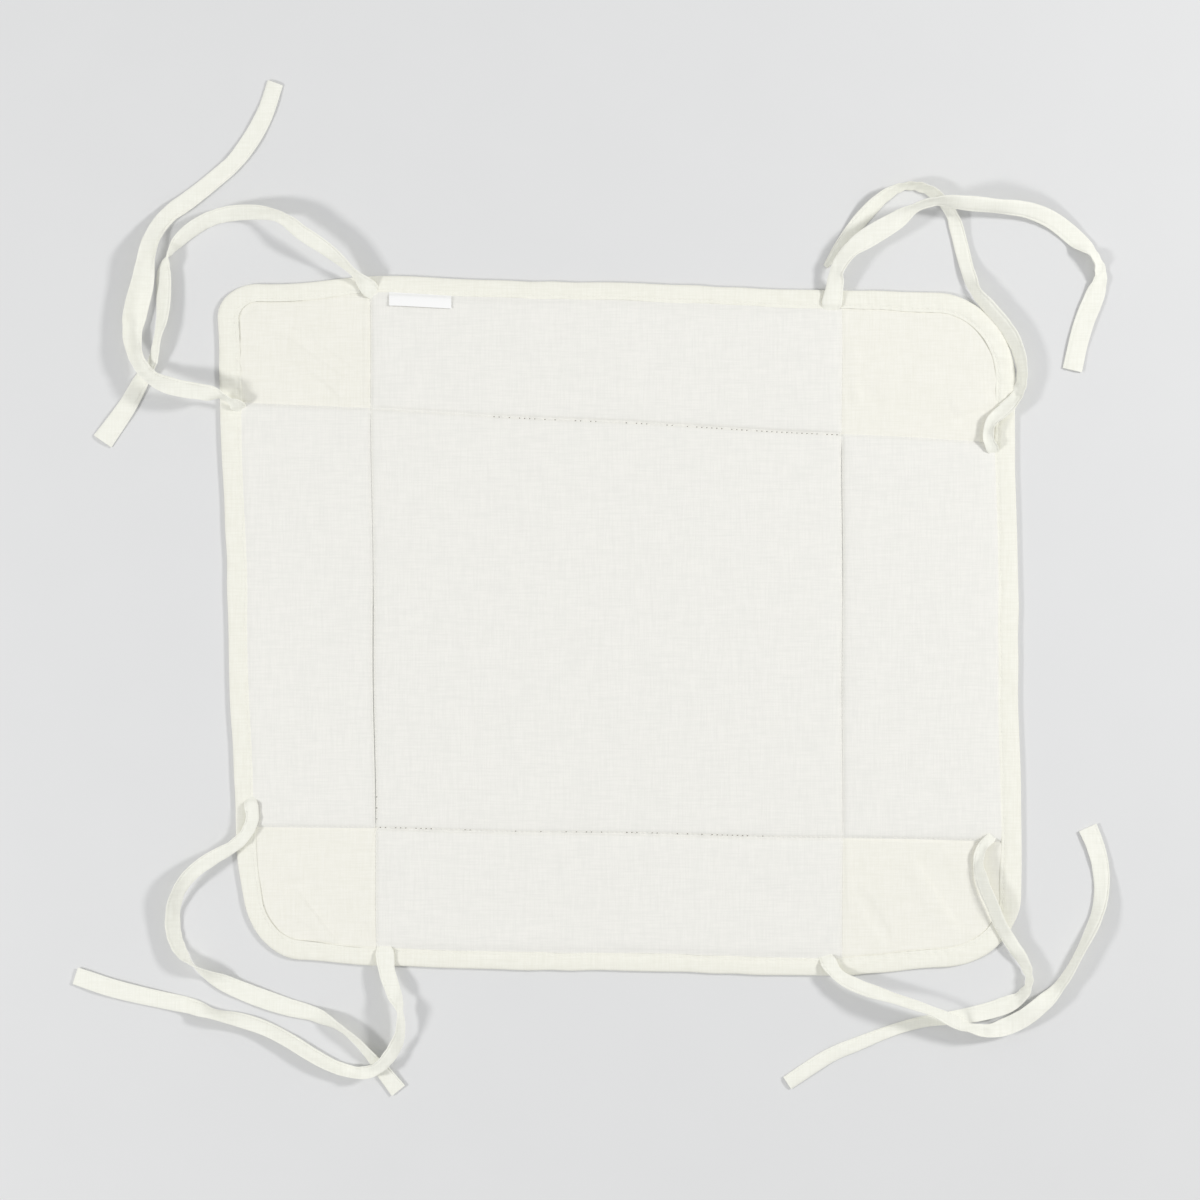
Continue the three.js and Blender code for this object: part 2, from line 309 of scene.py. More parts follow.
@dataclass(frozen=True)
class ClothLay:
    """How the cloth lies: a little askew, plump over the stiffeners and slack at the corners."""

    plan: Plan
    thickness: float = 0.4 * MM
    valley: float = 2.05 * MM
    plateau: float = 3.42 * MM
    rim_level: float = 1.62 * MM
    fold_clear: float = 2.56 * MM
    slack_swing: float = 0.55 * MM
    shell_lift: float = 0.75 * MM
    binding_reach: float = 9.0 * MM
    shoulder: float = 2.1 * MM
    slack_gain: float = 2.4

    def place(self, x: Array, y: Array) -> tuple[Array, Array]:
        """Moves a place from the square plan to where the skewed cloth lies.

        Args:
            x: plan x.
            y: plan y.

        Returns:
            The laid x and y.
        """
        half = self.plan.rim[Side.EAST]
        fold = self.plan.fold
        out = {side: side.out * ((x, y)[side.axis] - fold[side]) for side in Side}
        west = np.where(x < 0, 0.030, 0.013) * (np.abs(x) / half) ** 4
        dx = -y * (west + np.where(x < 0, 0.006, 0.0))
        row = np.exp(-((out[Side.NORTH] / (60 * MM)) ** 2))
        dy = -x * (0.020 + 0.034 * row)

        def pull(px: Array, py: Array) -> Array:
            """Eases in along x and y together."""
            return smooth(px) * smooth(py)

        west_out, east_out = out[Side.WEST] / MM, out[Side.EAST] / MM
        north_out, south_out = out[Side.NORTH] / MM, out[Side.SOUTH] / MM
        dy = dy - 5.0 * MM * pull((west_out + 13.5) / 60, (north_out + 3) / 50)
        dy = dy + 4.8 * MM * pull((east_out + 4.5) / 60, (south_out - 6) / 45)
        dy = dy + 2.4 * MM * pull((west_out - 1.5) / 40, (south_out - 6) / 45)
        dx = dx + 3.8 * MM * pull((west_out - 6.5) / 50, (south_out - 6) / 40)
        wobble = 0.35 * MM * np.sin(x / 0.019 + 1.1) * smooth(np.abs(y) / 0.15)
        return x + dx + 0.35 * MM * np.sin(y / 0.017) * smooth(np.abs(x) / 0.17), y + dy + wobble

    def seam_gaps(self, x: Array, y: Array) -> tuple[Array, Array, Array]:
        """Distances to the nearest fold lines, and whether a place is in a corner square.

        Args:
            x: plan x.
            y: plan y.

        Returns:
            The distance to the nearest west or east line, to the nearest south or north line,
            and a mask of the corner squares.
        """
        fold = self.plan.fold
        gx = np.minimum(np.abs(x - fold[Side.WEST]), np.abs(x - fold[Side.EAST]))
        gy = np.minimum(np.abs(y - fold[Side.SOUTH]), np.abs(y - fold[Side.NORTH]))
        beyond_x = (x < fold[Side.WEST]) | (x > fold[Side.EAST])
        beyond_y = (y < fold[Side.SOUTH]) | (y > fold[Side.NORTH])
        return gx, gy, beyond_x & beyond_y

    def groove(self, x: Array, y: Array) -> Array:
        """The sharp crease along each fold line, deepest where the cloth is nipped.

        Args:
            x: plan x.
            y: plan y.

        Returns:
            The change in height, 0 or less.
        """
        found = np.zeros_like(x)
        for side, (first, last, depth) in NIPS.items():
            ends = self.plan.ends(side)
            off = (x, y)[side.axis] - self.plan.fold[side]
            run = ((x, y)[1 - side.axis] - ends[0]) / (ends[1] - ends[0])
            nip = smooth((run - first) / 0.1 + 0.5) * smooth((last - run) / 0.1 + 0.5)
            found = found - MM * 0.45 * np.exp(-((off / (0.9 * MM)) ** 2))
            found = found - MM * depth * nip * np.exp(-((off / (0.5 * MM)) ** 2))
        return found

    def slack(self, x: Array, y: Array) -> Array:
        """The wrinkles round the base's four corners.

        Args:
            x: laid x.
            y: laid y.

        Returns:
            The change in height.
        """
        found = np.zeros_like(x)
        for corner, wrinkles in WRINKLES.items():
            column, row = self.plan.fold[corner.across], self.plan.fold[corner.along]
            out_x = (x - column) * corner.across.out
            out_y = (y - row) * corner.along.out
            near = smooth(out_x / (40 * MM) + 1.5) * smooth(out_y / (40 * MM) + 1.5)
            found = found + near * sum(w.lift(out_x, out_y) for w in wrinkles)
        return found

    def lining_height(self, x: Array, y: Array) -> Array:
        """Height of the upper cloth over the floor.

        Args:
            x: plan x.
            y: plan y.

        Returns:
            The height.
        """
        gx, gy, corner = self.seam_gaps(x, y)
        lx, ly = self.place(x, y)
        rim_gap = self.plan.inset(x, y) - self.binding_reach
        rim_side = swell(rim_gap + 0.6 * MM, 1.6 * MM)
        plump = swell(gx, self.shoulder) * swell(gy, self.shoulder) * rim_side
        waves = (
            np.sin(lx / 0.021 + 0.8 * np.sin(ly / 0.034))
            + np.sin(ly / 0.026 + 1.7 + 0.9 * np.sin(lx / 0.041))
            + 0.7 * np.sin((lx + ly) / 0.016 + 2.1)
        )
        near = np.minimum(gx, gy)
        run = np.where(gx < gy, ly, lx)
        pucker = np.exp(-near / (3.6 * MM)) * np.sin(run / (1.3 * MM) + 1.6 * np.sin(run / 0.011))
        padded = self.valley + (self.plateau - self.valley) * plump
        padded = padded + plump * (0.055 * MM * waves + 0.06 * MM * pucker)
        slack = self.slack_gain * self.slack(lx, ly)
        free = swell(near, 1.5 * MM) * rim_side
        sway = self.slack_swing * np.tanh((0.07 * MM * waves + slack) / self.slack_swing)
        loose = self.valley + free * (sway - 0.08 * MM)
        high = np.where(corner, loose, padded + 0.25 * slack * plump)
        bound = smooth(rim_gap / (1.6 * MM) + 0.6)
        return self.rim_level + (high - self.rim_level) * bound + self.groove(x, y) * bound

    def shell_height(self, x: Array, y: Array) -> Array:
        """Height of the under cloth's lower face over the floor.

        Args:
            x: plan x.
            y: plan y.

        Returns:
            The height.
        """
        gx, gy, corner = self.seam_gaps(x, y)
        rim_gap = self.plan.inset(x, y) - self.binding_reach
        flat = swell(gx, 1.5 * MM) * swell(gy, 1.5 * MM) * swell(rim_gap, 1.5 * MM)
        return self.shell_lift * np.where(corner, 1.0 - 0.25 * flat, 1.0 - 0.95 * flat)

    def at(self, x: Array, y: Array, z: Array) -> Array:
        """Places of the laid cloth as an array whose last axis is x, y, z."""
        lx, ly = self.place(x, y)
        return np.stack([lx, ly, z + np.zeros_like(lx)], axis=-1)

    def lining(self, x: Array, y: Array, drop: float = 0.0) -> Array:
        """The upper cloth's surface, or one that far below it."""
        return self.at(x, y, self.lining_height(x, y) - drop)

    def shell(self, x: Array, y: Array, lift: float = 0.0) -> Array:
        """The under cloth's lower surface, or one that far above it."""
        return self.at(x, y, self.shell_height(x, y) + lift)

    def lining_normals(self, x: Array, y: Array) -> Array:
        """Normals of the upper cloth, so that pieces of one cloth shade as one.

        Args:
            x: plan x.
            y: plan y.

        Returns:
            Unit vectors.
        """
        h = 0.15 * MM
        dx = self.lining(x + h, y) - self.lining(x - h, y)
        dy = self.lining(x, y + h) - self.lining(x, y - h)
        n = np.cross(dx, dy)
        return n / np.linalg.norm(n, axis=-1, keepdims=True)


class Slab:
    """A closed piece between an outer and an inner grid of the same shape."""

    def __init__(self, name: str, outer: Array, inner: Array, pole: bool = False) -> None:
        """Joins the two grids along their four edges.

        Args:
            name: the piece's name.
            outer: points of the visible face, rows by columns by 3.
            inner: points of the hidden face.
            pole: whether the first row is a single point.
        """
        rows, columns = outer.shape[:2]
        count = rows * columns
        self.points = np.concatenate([outer.reshape(-1, 3), inner.reshape(-1, 3)])
        index = np.arange(count).reshape(rows, columns)
        if pole:
            index[0, :] = index[0, 0]
        quads = np.stack(
            [index[:-1, :-1], index[1:, :-1], index[1:, 1:], index[:-1, 1:]], axis=-1
        ).reshape(-1, 4)
        self.faces = [tuple(q) for q in quads]
        self.faces += [tuple(q[::-1] + count) for q in quads]
        self.outer_faces = len(quads)
        edges = [index[:, 0][::-1], index[-1, :][::-1], index[:, -1], index[0, :]]
        for edge in edges:
            for a, b in zip(edge[:-1], edge[1:]):
                if a != b:
                    self.faces.append((a, b, b + count, a + count))
        self.name = name
        self.tidy()

    def tidy(self) -> None:
        """Drops repeated corners of faces and turns the piece the right way out."""
        kept = []
        for n, face in enumerate(self.faces):
            ring = [int(v) for k, v in enumerate(face) if v != face[k - 1]]
            if len(set(ring)) > 2:
                kept.append(ring)
            elif n < self.outer_faces:
                raise ValueError(f"{self.name} has a collapsed face")
        volume = 0.0
        p = self.points
        for f in kept:
            for k in range(1, len(f) - 1):
                volume += float(np.dot(p[f[0]], np.cross(p[f[k]], p[f[k + 1]])))
        self.faces = [f[::-1] for f in kept] if volume < 0 else kept

    def build(self, material: bpy.types.Material, normals: Array | None = None) -> bpy.types.Object:
        """Makes the Blender object.

        Args:
            material: its finish.
            normals: normals of the outer grid, where neighbours must shade as one.

        Returns:
            The linked object, smooth with its edges sharp.
        """
        used = sorted({v for f in self.faces for v in f})
        renumber = {v: n for n, v in enumerate(used)}
        mesh = bpy.data.meshes.new(self.name)
        faces = [[renumber[v] for v in f] for f in self.faces]
        mesh.from_pydata(self.points[used].tolist(), [], faces)
        mesh.materials.append(material)
        mesh.shade_smooth()
        mesh.set_sharp_from_angle(angle=math.radians(55))
        if normals is not None:
            flat = normals.reshape(-1, 3)
            loops = []
            for n, face in enumerate(self.faces):
                outer = n < self.outer_faces
                loops += [tuple(flat[v]) if outer else (0.0, 0.0, 0.0) for v in face]
            mesh.normals_split_custom_set(loops)
        made = bpy.data.objects.new(self.name, mesh)
        bpy.context.scene.collection.objects.link(made)
        return made


class Nodes:
    """A short way to write a node tree."""

    def __init__(self, tree: bpy.types.NodeTree) -> None:
        """Wraps a tree."""
        self.tree = tree

    def add(self, kind: str, inputs: dict | None = None, **settings: object) -> bpy.types.Node:
        """Adds a node.

        Args:
            kind: the node's type name.
            inputs: socket name or number to a value or an output socket.
            settings: the node's own properties.

        Returns:
            The node.
        """
        node = self.tree.nodes.new(kind)
        for key, value in settings.items():
            setattr(node, key, value)
        for key, value in (inputs or {}).items():
            if isinstance(value, bpy.types.NodeSocket):
                self.tree.links.new(value, node.inputs[key])
            else:
                node.inputs[key].default_value = value
        return node

    def math(self, operation: str, a: object, b: object = 0.0) -> bpy.types.NodeSocket:
        """A Math node's output."""
        return self.add("ShaderNodeMath", {0: a, 1: b}, operation=operation).outputs[0]


@dataclass(frozen=True)
class WovenCotton:
    """Unbleached plain-weave cotton, with slubs, a soft mottle and a raised thread pattern."""

    name: str
    colour: tuple[float, float, float]
    shade: tuple[float, float, float]
    pitch: float = 0.55 * MM
    slub_strength: float = 1.5
    mottle_scale: float = 230.0
    bump_depth: float = 0.07 * MM
    roughness: float = 0.9
    sheen: float = 0.12

    def material(self) -> bpy.types.Material:
        """Builds the finish.

        Returns:
            The material.
        """
        made = bpy.data.materials.new(self.name)
        made.use_nodes = True
        n = Nodes(made.node_tree)
        shader = made.node_tree.nodes["Principled BSDF"]
        place = n.add("ShaderNodeTexCoord").outputs["Object"]
        split = n.add("ShaderNodeSeparateXYZ", {0: place})
        turn = 2 * math.pi / self.pitch
        warp = n.math("SINE", n.math("MULTIPLY", split.outputs[0], turn))
        weft = n.math("SINE", n.math("MULTIPLY", split.outputs[1], turn))
        weave = n.math("MULTIPLY", warp, weft)
        slubs = []
        for stretch in ((90.0, 1500.0, 90.0), (1500.0, 90.0, 90.0)):
            run = n.add("ShaderNodeMapping", {"Vector": place, "Scale": stretch})
            noise = n.add("ShaderNodeTexNoise", {"Vector": run.outputs[0], "Scale": 1.0, "Detail": 3.0})
            slubs.append(noise.outputs["Fac"])
        slub = n.math("MULTIPLY", slubs[0], slubs[1])
        mottle = n.add(
            "ShaderNodeTexNoise",
            {"Vector": place, "Scale": self.mottle_scale, "Detail": 5.0, "Roughness": 0.62},
        ).outputs["Fac"]
        blend = n.math("ADD", n.math("MULTIPLY", slub, self.slub_strength), n.math("MULTIPLY", mottle, 0.42))
        ramp = n.add(
            "ShaderNodeMapRange",
            {"Value": blend, "From Min": 0.38, "From Max": 0.78, "To Min": 0.0, "To Max": 1.0},
        )
        mix = n.add("ShaderNodeMix", {"Factor": ramp.outputs[0]}, data_type="RGBA")
        mix.inputs["A"].default_value = (*self.shade, 1.0)
        mix.inputs["B"].default_value = (*self.colour, 1.0)
        tone = mix.outputs["Result"]
        made.node_tree.links.new(tone, shader.inputs["Base Color"])
        height = n.math("ADD", n.math("MULTIPLY", weave, 0.28), n.math("MULTIPLY", slub, 1.8))
        bump = n.add("ShaderNodeBump", {"Height": height, "Strength": 0.45, "Distance": self.bump_depth})
        made.node_tree.links.new(bump.outputs[0], shader.inputs["Normal"])
        shader.inputs["Roughness"].default_value = self.roughness
        shader.inputs["Specular IOR Level"].default_value = 0.2
        shader.inputs["Sheen Weight"].default_value = self.sheen
        shader.inputs["Sheen Roughness"].default_value = 0.6
        return made


@dataclass(frozen=True)
class PlainFinish:
    """A fine-grained finish for thread, the dark dots of painted shade at needle punctures, label ribbon,
    felt and the floor.
    """

    name: str
    colour: tuple[float, float, float]
    roughness: float
    grain_scale: float
    grain_depth: float
    contrast: float = 0.06
    sheen: float = 0.0

    def material(self) -> bpy.types.Material:
        """Builds the finish.

        Returns:
            The material.
        """
        made = bpy.data.materials.new(self.name)
        made.use_nodes = True
        n = Nodes(made.node_tree)
        shader = made.node_tree.nodes["Principled BSDF"]
        place = n.add("ShaderNodeTexCoord").outputs["Object"]
        noise = n.add(
            "ShaderNodeTexNoise", {"Vector": place, "Scale": self.grain_scale, "Detail": 4.0}
        ).outputs["Fac"]
        mix = n.add("ShaderNodeMix", {"Factor": noise}, data_type="RGBA")
        darker = [c * (1 - self.contrast) for c in self.colour]
        lighter = [min(1.0, c * (1 + self.contrast)) for c in self.colour]
        mix.inputs["A"].default_value = (*darker, 1.0)
        mix.inputs["B"].default_value = (*lighter, 1.0)
        made.node_tree.links.new(mix.outputs["Result"], shader.inputs["Base Color"])
        bump = n.add("ShaderNodeBump", {"Height": noise, "Strength": 0.3, "Distance": self.grain_depth})
        made.node_tree.links.new(bump.outputs[0], shader.inputs["Normal"])
        shader.inputs["Roughness"].default_value = self.roughness
        shader.inputs["Sheen Weight"].default_value = self.sheen
        return made


class Finishes:
    """Every finish, made once."""

    def __init__(self) -> None:
        """Builds the materials."""
        self.panel = WovenCotton("panel cotton", (0.868, 0.858, 0.815), (0.815, 0.81, 0.77)).material()
        self.corner = WovenCotton("corner cotton", (0.882, 0.870, 0.802), (0.838, 0.826, 0.750)).material()
        self.shell = WovenCotton("under cotton", (0.85, 0.835, 0.77), (0.80, 0.785, 0.715)).material()
        self.tape = WovenCotton(
            "binding tape", (0.890, 0.884, 0.806), (0.840, 0.832, 0.748), pitch=0.45 * MM
        ).material()
        self.tie = WovenCotton(
            "tie tape", (0.905, 0.905, 0.832), (0.855, 0.853, 0.775), pitch=0.45 * MM
        ).material()
        self.thread = PlainFinish("sewing thread", (0.89, 0.88, 0.82), 0.7, 2600.0, 0.05 * MM).material()
        # Painted shade: near-black dots stand in for the shadow inside the needle punctures.
        self.hole = PlainFinish("needle hole", (0.20, 0.185, 0.15), 0.95, 2600.0, 0.05 * MM).material()
        self.ribbon = PlainFinish(
            "label ribbon", (0.95, 0.95, 0.945), 0.42, 1800.0, 0.03 * MM, 0.02
        ).material()
        self.felt = PlainFinish("felt", (0.72, 0.70, 0.64), 0.97, 700.0, 0.2 * MM, 0.12).material()
        self.floor = PlainFinish("floor", (0.735, 0.738, 0.742), 0.95, 26.0, 0.05 * MM, 0.012).material()


class StitchTree:
    """Geometry Nodes that lay short threads, or dark dots of painted shade at needle punctures, along a
    line.
    """

    def __init__(self) -> None:
        """Builds the tree once, with named inputs."""
        self.tree = bpy.data.node_groups.new("stitch row", "GeometryNodeTree")
        face = self.tree.interface
        face.new_socket("Geometry", in_out="INPUT", socket_type="NodeSocketGeometry")
        face.new_socket("Geometry", in_out="OUTPUT", socket_type="NodeSocketGeometry")
        self.sockets: dict[str, str] = {}
        kinds = {
            "Pitch": "NodeSocketFloat",
            "Length": "NodeSocketFloat",
            "Width": "NodeSocketFloat",
            "Share": "NodeSocketFloat",
            "Seed": "NodeSocketInt",
            "Material": "NodeSocketMaterial",
        }
        for name, kind in kinds.items():
            socket = face.new_socket(name, in_out="INPUT", socket_type=kind)
            self.sockets[name] = socket.identifier
        self.wire()

    def wire(self) -> None:
        """Adds and links the nodes."""
        n = Nodes(self.tree)
        given = n.add("NodeGroupInput").outputs
        curve = n.add("GeometryNodeMeshToCurve", {0: given["Geometry"]})
        points = n.add(
            "GeometryNodeCurveToPoints",
            {"Curve": curve.outputs[0], "Length": given["Pitch"]},
            mode="LENGTH",
        )
        turned = n.add(
            "FunctionNodeAlignRotationToVector",
            {"Vector": points.outputs["Tangent"]},
            axis="X",
            pivot_axis="Z",
        )
        bead = n.add("GeometryNodeMeshUVSphere", {"Segments": 8, "Rings": 5, "Radius": 0.5})
        rough = n.add("FunctionNodeRandomValue", {"Seed": given["Seed"]}, data_type="FLOAT")
        shortest, longest = 0.78, 1.12
        rough.inputs[2].default_value, rough.inputs[3].default_value = shortest, longest
        size = n.add(
            "ShaderNodeCombineXYZ",
            {
                0: n.math("MULTIPLY", given["Length"], rough.outputs[1]),
                1: given["Width"],
                2: n.math("MULTIPLY", given["Width"], 0.75),
            },
        )
        chosen = n.add(
            "FunctionNodeRandomValue",
            {"Probability": given["Share"], "Seed": n.math("ADD", given["Seed"], 7.0)},
            data_type="BOOLEAN",
        )
        laid = n.add(
            "GeometryNodeInstanceOnPoints",
            {
                "Points": points.outputs["Points"],
                "Selection": chosen.outputs[3],
                "Instance": bead.outputs[0],
                "Rotation": turned.outputs[0],
                "Scale": size.outputs[0],
            },
        )
        real = n.add("GeometryNodeRealizeInstances", {0: laid.outputs[0]})
        dressed = n.add(
            "GeometryNodeSetMaterial", {"Geometry": real.outputs[0], "Material": given["Material"]}
        )
        n.add("NodeGroupOutput", {0: dressed.outputs[0]})

    def row(
        self,
        name: str,
        lines: list[Array],
        material: bpy.types.Material,
        pitch: float = 2.27 * MM,
        length: float = 1.7 * MM,
        width: float = 0.32 * MM,
        share: float = 1.0,
        seed: int = 3,
    ) -> bpy.types.Object:
        """Lays stitches along lines and keeps the result as a plain mesh.

        Args:
            name: the piece's name.
            lines: each a list of points along a seam.
            material: the thread's finish, or the painted shade of the dots at needle punctures.
            pitch: from one stitch to the next.
            length: of one stitch.
            width: of the thread.
            share: how many of the places are filled.
            seed: for the small differences.

        Returns:
            The linked object.
        """
        points, edges = [], []
        for line in lines:
            first = len(points)
            points += line.tolist()
            edges += [(first + k, first + k + 1) for k in range(len(line) - 1)]
        guide_mesh = bpy.data.meshes.new(name + "_guide")
        guide_mesh.from_pydata(points, edges, [])
        guide = bpy.data.objects.new(name + "_guide", guide_mesh)
        bpy.context.scene.collection.objects.link(guide)
        modifier = guide.modifiers.new("stitches", "NODES")
        modifier.node_group = self.tree
        values = {
            "Pitch": pitch,
            "Length": length,
            "Width": width,
            "Share": share,
            "Seed": seed,
            "Material": material,
        }
        for key, value in values.items():
            modifier[self.sockets[key]] = value
        bpy.context.view_layer.update()
        ready = guide.evaluated_get(bpy.context.evaluated_depsgraph_get())
        mesh = bpy.data.meshes.new_from_object(ready)
        mesh.name = name
        mesh.shade_smooth()
        made = bpy.data.objects.new(name, mesh)
        bpy.context.scene.collection.objects.link(made)
        bpy.data.objects.remove(guide)
        bpy.data.meshes.remove(guide_mesh)
        return made


@dataclass
class Workshop:
    """What every sub-assembly needs: the lay of the cloth, the finishes and the stitches."""

    lay: ClothLay
    finishes: Finishes
    stitches: StitchTree
    bend: float = 4 * MM
    clear: float = 0.2 * MM
    gap: float = 0.06 * MM

    def bend_across(
        self, obj: bpy.types.Object, line: Side, bodies: tuple[str, str], span: tuple[float, float]
    ) -> None:
        """Works out the line across a seam, which is not used, and bakes a piece's transform into its mesh;
        nothing is bent.

        Args:
            obj: the piece.
            line: the side whose fold line the seam follows.
            bodies: not used.
            span: the stretch of the line that the seam covers.
        """
        run = np.linspace(*span, 60)
        still = np.full_like(run, self.lay.plan.fold[line])
        laid = np.stack(self.lay.place(*((still, run) if line.axis == 0 else (run, still))))
        along = laid[:, -1] - laid[:, 0]
        across = np.array((along[1], -along[0])) / np.hypot(*along)
        across *= line.out * np.sign(across[line.axis])
        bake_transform(obj)


def report(obj: bpy.types.Object) -> None:
    """Logs a finished piece."""
    LOG.info("%s: %d faces", obj.name, len(obj.data.polygons))


@dataclass
class PaddedPanel:
    """The base or a side: an upper cloth, a felt stiffener and an under cloth."""

    shop: Workshop
    side: Side | None = None
    fine: float = 0.45 * MM
    coarse: float = 2.2 * MM
    reach: float = 9 * MM
    felt_inset: float = 2.4 * MM
    edge_inset: float = 0.5 * MM

    @property
    def tag(self) -> str:
        """The panel's name without the kind of cloth."""
        return "base" if self.side is None else f"side_{self.side.value}"

    def spans(self, inset: float = 0.0) -> list[tuple[float, float]]:
        """The panel's reach in x and in y.

        Args:
            inset: how far in from its seams.

        Returns:
            Lowest and highest x, then y.
        """
        plan = self.shop.lay.plan
        limits = {side: plan.fold[side] - side.out * inset for side in Side}
        if self.side is not None:
            side = self.side
            opposite = next(s for s in Side if s.axis == side.axis and s is not side)
            rim_inset = max(self.edge_inset, inset + TAPE_COVER if inset else 0.0)
            limits[side] = plan.rim[side] - side.out * rim_inset
            limits[opposite] = plan.fold[side] + side.out * inset
        return [
            (limits[Side.WEST], limits[Side.EAST]),
            (limits[Side.SOUTH], limits[Side.NORTH]),
        ]

    def grid(self, inset: float = 0.0, scale: float = 1.0) -> tuple[Array, Array]:
        """Plan places over the panel, closest together at its seams.

        Args:
            inset: how far in from its seams.
            scale: how much wider than the finest the steps are.

        Returns:
            Plan x and y.
        """
        spans = self.spans(inset)
        lines = [graded(a, b, self.fine * scale, self.coarse * scale, self.reach) for a, b in spans]
        return tuple(np.meshgrid(lines[0], lines[1], indexing="ij"))

    def attach(self, obj: bpy.types.Object) -> None:
        """Makes a piece follow the base; a side's piece only has its transform baked into its mesh.

        Args:
            obj: the piece.
        """
        if self.side is None:
            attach(obj, "base")
            return
        span = self.shop.lay.plan.ends(self.side)
        self.shop.bend_across(obj, self.side, ("base", self.side.body), span)

    def build(self) -> None:
        """Makes the three layers."""
        lay, finishes, gap = self.shop.lay, self.shop.finishes, self.shop.gap
        x, y = self.grid()
        top = Slab(f"lining_{self.tag}", lay.lining(x, y), lay.lining(x, y, lay.thickness))
        lining = top.build(finishes.panel, lay.lining_normals(x, y))
        x, y = self.grid(scale=2.0)
        under = Slab(f"shell_{self.tag}", lay.shell(x, y), lay.shell(x, y, lay.thickness))
        shell = under.build(finishes.shell)
        x, y = self.grid(self.felt_inset, scale=3.0)
        felt_top = lay.lining(x, y, lay.thickness + gap)
        felt_low = lay.shell(x, y, lay.thickness + gap)
        felt = Slab(f"felt_{self.tag}", felt_top, felt_low).build(finishes.felt)
        for obj, kind in ((lining, "lining"), (shell, "shell"), (felt, "stiffener")):
            self.attach(obj)
            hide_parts(f"{self.tag}_{kind}")
            report(obj)


@dataclass(frozen=True)
class BindingProfile:
    """The folded tape in section: how far in and how high each point of its two faces is."""

    width: float = 8.7 * MM
    tape: float = 0.42 * MM
    leaf_gap: float = 0.08 * MM
    floor_gap: float = 0.12 * MM
    bulge: float = 0.4 * MM
    ends_width: float = 8.0 * MM
    sides_width: float = 9.4 * MM
    stitch_in: float = 1.3 * MM
    columns: int = 30

    def faces(self, level: float) -> tuple[Array, Array]:
        """The section's two faces as lists of (inset, height).

        Args:
            level: height of the cloth's upper face under the tape.

        Returns:
            The outer and the inner face, from the upper inner edge round to the lower one.
        """
        # Of the section's length, 0.55 is the upper leaf, 0.2 the turn and 0.25 the lower leaf
        top = level + self.leaf_gap + self.tape
        low = self.floor_gap
        mid, round_r = (top + low) / 2, (top - low) / 2
        share = np.linspace(0, 1, self.columns)
        outer, inner = [], []
        for s in share:
            if s < 0.55:
                t = self.width + (round_r - self.width) * (s / 0.55)
                hump = math.sin(math.pi * (s / 0.55))
                dip = math.exp(-(((t - (self.width - self.stitch_in)) / (0.5 * MM)) ** 2))
                z = top + self.bulge * hump**0.6 - 0.28 * MM * dip
                outer.append((t, z))
                inner.append((t, z - self.tape))
            elif s < 0.75:
                turn = math.pi * (s - 0.55) / 0.2
                r_in = round_r - self.tape
                outer.append((round_r - round_r * math.sin(turn), mid + round_r * math.cos(turn)))
                inner.append((round_r - r_in * math.sin(turn), mid + r_in * math.cos(turn)))
            else:
                t = round_r + (self.width - 0.6 * MM - round_r) * (s - 0.75) / 0.25
                outer.append((t, low))
                inner.append((t, low + self.tape))
        return np.array(outer), np.array(inner)


